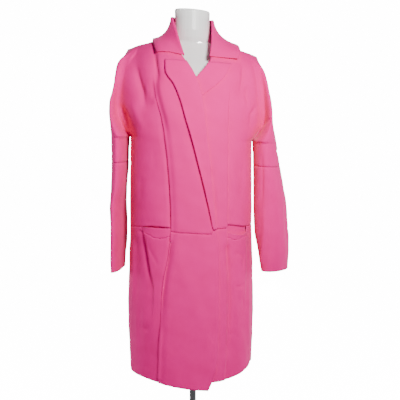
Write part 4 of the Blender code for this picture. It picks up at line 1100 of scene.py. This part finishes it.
def makePocketBack(side):
    def behind(x, z):
        sink = pocket["sink"] * smoothStep((bandBottom - z) / 0.03)
        return -pocket["ply"] - sink - frontRelief(side, x, z)

    rows = np.linspace(waistSeam + 0.010, waistSeam - pocket["deep"], 25)
    finishPocket("pocketBack" + side, pocketPoints(side, rows, 0.015, behind)[0])


# Collar

collar = {
    "roll": table(
        "along out depth height shift room",
        (0, 34.5, -90.5, 1338, 13.3, 1.8),
        (0.2, 42.5, -68, 1372, 10, 2.5),
        (0.36, 49, -40, 1410, 5, 3),
        (0.5, 55, -2, 1442, 0, 3),
        (0.7, 47, 46, 1447, 0, 3),
        (0.85, 25.5, 62.5, 1449, 0, 3),
        (0.95, 8.5, 67.8, 1450, 0, 3),
        (1, 0, 68.5, 1450, 0, 3),
    ),
    "outer": table(
        "along out depth height shift room",
        (0, 106.5, -73, 1337, 17, 0),
        (0.2, 116, -56, 1356, 14, 0),
        (0.36, 118.5, -27, 1372, 10, 0),
        (0.5, 112, 8, 1382, 6, 0),
        (0.7, 84, 56, 1371, 0, 0),
        (0.85, 45, 80, 1362.5, 0, 0),
        (0.95, 15, 88, 1360.2, 0, 0),
        (1, 0, 88.8, 1360, 0, 0),
    ),
    "steps": refine((0.0, 0.04, 0.12, 0.20, 0.28, 0.36, 0.43, 0.50, 0.57, 0.64, 0.72, 0.81, 0.90, 1.0),
                    0.02),
    "front": 0.5,  # where along it the collar passes the neck point
    "endHeight": 1.334,
    "inset": 0.0023,
    "stand": 0.0016,
    "reach": 0.015,
    "endForward": 0.0035,
    "bend": (0.14, 0.14, 0.78),  # how far out, forward and down the flap's bend lies
}


def collarSeam(side, along):
    sign = sides[side]
    roundNeck = (along - collar["front"]) / (1 - collar["front"]) * math.pi / 2
    out = (neckOut - collar["inset"]) * np.cos(roundNeck)
    ridge = garment["ridgeDepth"]
    depth = ridge + (garment["backNeckDepth"] - ridge - collar["inset"]) * np.sin(roundNeck)
    behind = np.stack([sign * out, depth, shoulderHeight(out)], axis=-1)
    heights = neckHeight - (neckHeight - collar["endHeight"]) * np.linspace(1, 0, 120) ** 2
    line = frontPoints(side, read(edge[side], "x", heights), heights)
    line[:, 0] -= sign * collar["inset"]
    lengths = measured(stepLengths(line, 0))
    at = np.clip(along / collar["front"], 0, 1) * lengths[-1]
    before = np.stack([np.interp(at, lengths, line[:, axis]) for axis in range(3)], axis=-1)
    return np.where(along[:, None] < collar["front"], before, behind)


def collarHalf(side):
    along = collar["steps"]
    seam = collarSeam(side, along)
    edges = []
    for line in (collar["roll"], collar["outer"]):
        out, shift, depth, height = (read(line, name, along, "along")
                                     for name in ("out", "shift", "depth", "height"))
        edges.append(np.stack([sides[side] * out + shift, depth, height], axis=-1))
    roll, outer = edges
    forward = np.clip(seam[0, 1] - collar["endForward"] - roll[0, 1], -1, 0)
    roll[:, 1] += forward * (1 - smoothStep(along / collar["front"]))
    alongRoll = unit(np.gradient(roll, axis=0))
    crest = unit(roll - seam) - unit(outer - roll)
    crest = unit(crest - alongRoll * np.sum(crest * alongRoll, axis=1, keepdims=True))
    outward = np.cross(alongRoll, crest)
    outward *= np.sign(np.sum(outward[:, :2] * roll[:, :2], axis=1, keepdims=True))
    room = read(collar["roll"], "room", along, "along")[:, None]
    inside = roll - outward * room - crest * room
    outside = roll + outward * room - crest * room
    bend = outside + (outer - outside) * np.array(collar["bend"])
    rise = [seam + (inside - seam) * t for t in np.linspace(0, 1, 8)[:-1]]
    over = [roll - crest * room + room * (crest * math.sin(a) - outward * math.cos(a))
            for a in np.linspace(0, math.pi, 7)]
    fall = [outside * (1 - t) ** 2 + bend * 2 * t * (1 - t) + outer * t * t
            for t in np.linspace(0, 1, 18)[1:]]
    return lean(np.stack(rise + over + fall, axis=1)), len(rise) + len(over) - 1


def clearOf(points, panels):  # a layer's room between the turned collar and what it lies on
    flat = points.reshape(-1, 3)
    room = layer + collar["stand"]
    for panel in panels:
        corners = [vertex.co for vertex in panel.data.vertices]
        tree = BVHTree.FromPolygons(corners, [list(face.vertices) for face in panel.data.polygons])
        middle = Vector((0.0, 0.0, 1.25))
        facing = sum(face.normal.dot(face.center - middle) for face in panel.data.polygons)
        for point in flat:
            place, normal, _, distance = tree.find_nearest(Vector(point))
            outward = normal * math.copysign(1, facing)
            have = (Vector(point) - place).dot(outward)
            if distance < collar["reach"] and have < room:
                point += np.array(outward) * (room - have)
    return flat.reshape(points.shape)


def evenOut(points, times):  # takes the unevenness off a grid, keeping its borders
    points = points.copy()
    for _ in range(times):
        around = (points[:-2, 1:-1] + points[2:, 1:-1] + points[1:-1, :-2] + points[1:-1, 2:]) / 4
        points[1:-1, 1:-1] = points[1:-1, 1:-1] * 0.5 + around * 0.5
    return points


def makeCollar(panels):
    right, rise = collarHalf("Right")
    left, rise = collarHalf("Left")
    points = np.concatenate([right, left[-2::-1]])
    for _ in range(2):
        points[:, rise:] = clearOf(points[:, rise:], panels)
        points[:, rise:] = evenOut(points[:, rise:], 3)
    points[:, rise:] = clearOf(points[:, rise:], panels)
    clothPiece("turnedCollar", points, allCells(points))


panels = [makeBack()]
for side in sides:
    panels.append(makeFront(side))
    for make in (makeSkirt, makeSleeve, makePocketBand, makePocketBack):
        make(side)
makeCollar(panels)
print("Garment ready")


# Studio

studio = {
    "paper": "dedede",
    "paperShade": "d9d9d9",
    "paperGlow": 15.0,  # how far the paper is overexposed in the picture, without lighting anything
    "sweep": ((-6.0, -0.001), (-1.0, -0.001), (0.9, -0.001), (1.7, -0.001), (2.5, 0.10), (3.1, 0.50),
              (3.35, 1.3), (3.4, 6.0)),  # y and height
    "halfWidth": 8.0,
    "ambient": 0.12,
    "seen": 16.0,  # how bright the white room looks behind the object
    "lights": (  # name, place, target, size, power, spread in degrees
        ("key", (0.44, -1.22, 1.66), (0.0, 0.0, 1.12), 0.32, 33.0, 180),
        ("fill", (-1.6, -1.5, 1.6), (0.0, 0.0, 1.2), 1.2, 3.0, 180),
        ("neckLight", (-0.2, -1.0, 2.2), (0.0, 0.0, 1.54), 0.1, 0.22, 5),
        ("hair", (0.3, 1.9, 2.3), (0.0, 0.0, 1.0), 1.2, 14.0, 180),
        ("rightRim", (-1.8, 0.80, 0.75), (0.0, 0.0, 0.72), 0.7, 26.0, 180),
        ("leftRim", (1.8, 0.80, 0.75), (0.0, 0.0, 0.72), 0.7, 22.0, 180),
    ),
}


def makeSweep():
    # Matt seamless paper, rolled: an even pale ground without gloss, its shade varying a little.
    material, add, shader, _ = newMaterial("mattBackgroundPaper")
    cloud = add("TexNoise", {"Scale": 1.5, "Detail": 2})
    tone = add("Mix", {"data_type": "RGBA", 6: linear(studio["paperShade"]), 7: linear(studio["paper"])},
               {0: cloud})
    seen = add("LightPath").outputs["Is Camera Ray"]
    glow = add("Math", {"operation": "MULTIPLY", 1: studio["paperGlow"]}, {0: seen})
    add(shader, {"Emission Color": linear("ffffff"), "Roughness": 0.9, "Specular IOR Level": 0.1},
        {"Base Color": tone.outputs[2], "Emission Strength": glow})
    mesh = bpy.data.meshes.new("studioSweep")
    half = studio["halfWidth"]
    vertices = [(x, y, z) for y, z in studio["sweep"] for x in (-half, half)]
    faces = [(2 * i, 2 * i + 1, 2 * i + 3, 2 * i + 2) for i in range(len(studio["sweep"]) - 1)]
    mesh.from_pydata(vertices, [], faces)
    mesh.shade_smooth()
    mesh.materials.append(material)
    sweep = addObject("studioSweep", mesh)
    soft = sweep.modifiers.new("Soft sweep", "SUBSURF")
    soft.levels = 3
    soft.render_levels = 3


def makeRoom():
    world = bpy.data.worlds.new("studioWorld")
    world.use_nodes = True
    add = partial(addNode, world.node_tree)
    seen = add("LightPath").outputs["Is Camera Ray"]
    strength = add("MapRange", {"To Min": studio["ambient"], "To Max": studio["seen"]}, {"Value": seen})
    add(world.node_tree.nodes["Background"], {"Color": linear("ffffff")}, {"Strength": strength})
    bpy.context.scene.world = world
    for name, place, target, size, power, spread in studio["lights"]:
        data = bpy.data.lights.new(name, "AREA")
        data.shape = "DISK"
        data.size = size
        data.energy = power
        data.spread = math.radians(spread)
        light = addObject(name, data)
        light.location = place
        light.visible_camera = False
        light.rotation_euler = (Vector(target) - Vector(place)).to_track_quat("-Z", "Y").to_euler()


makeSweep()
makeRoom()
print("Studio ready")
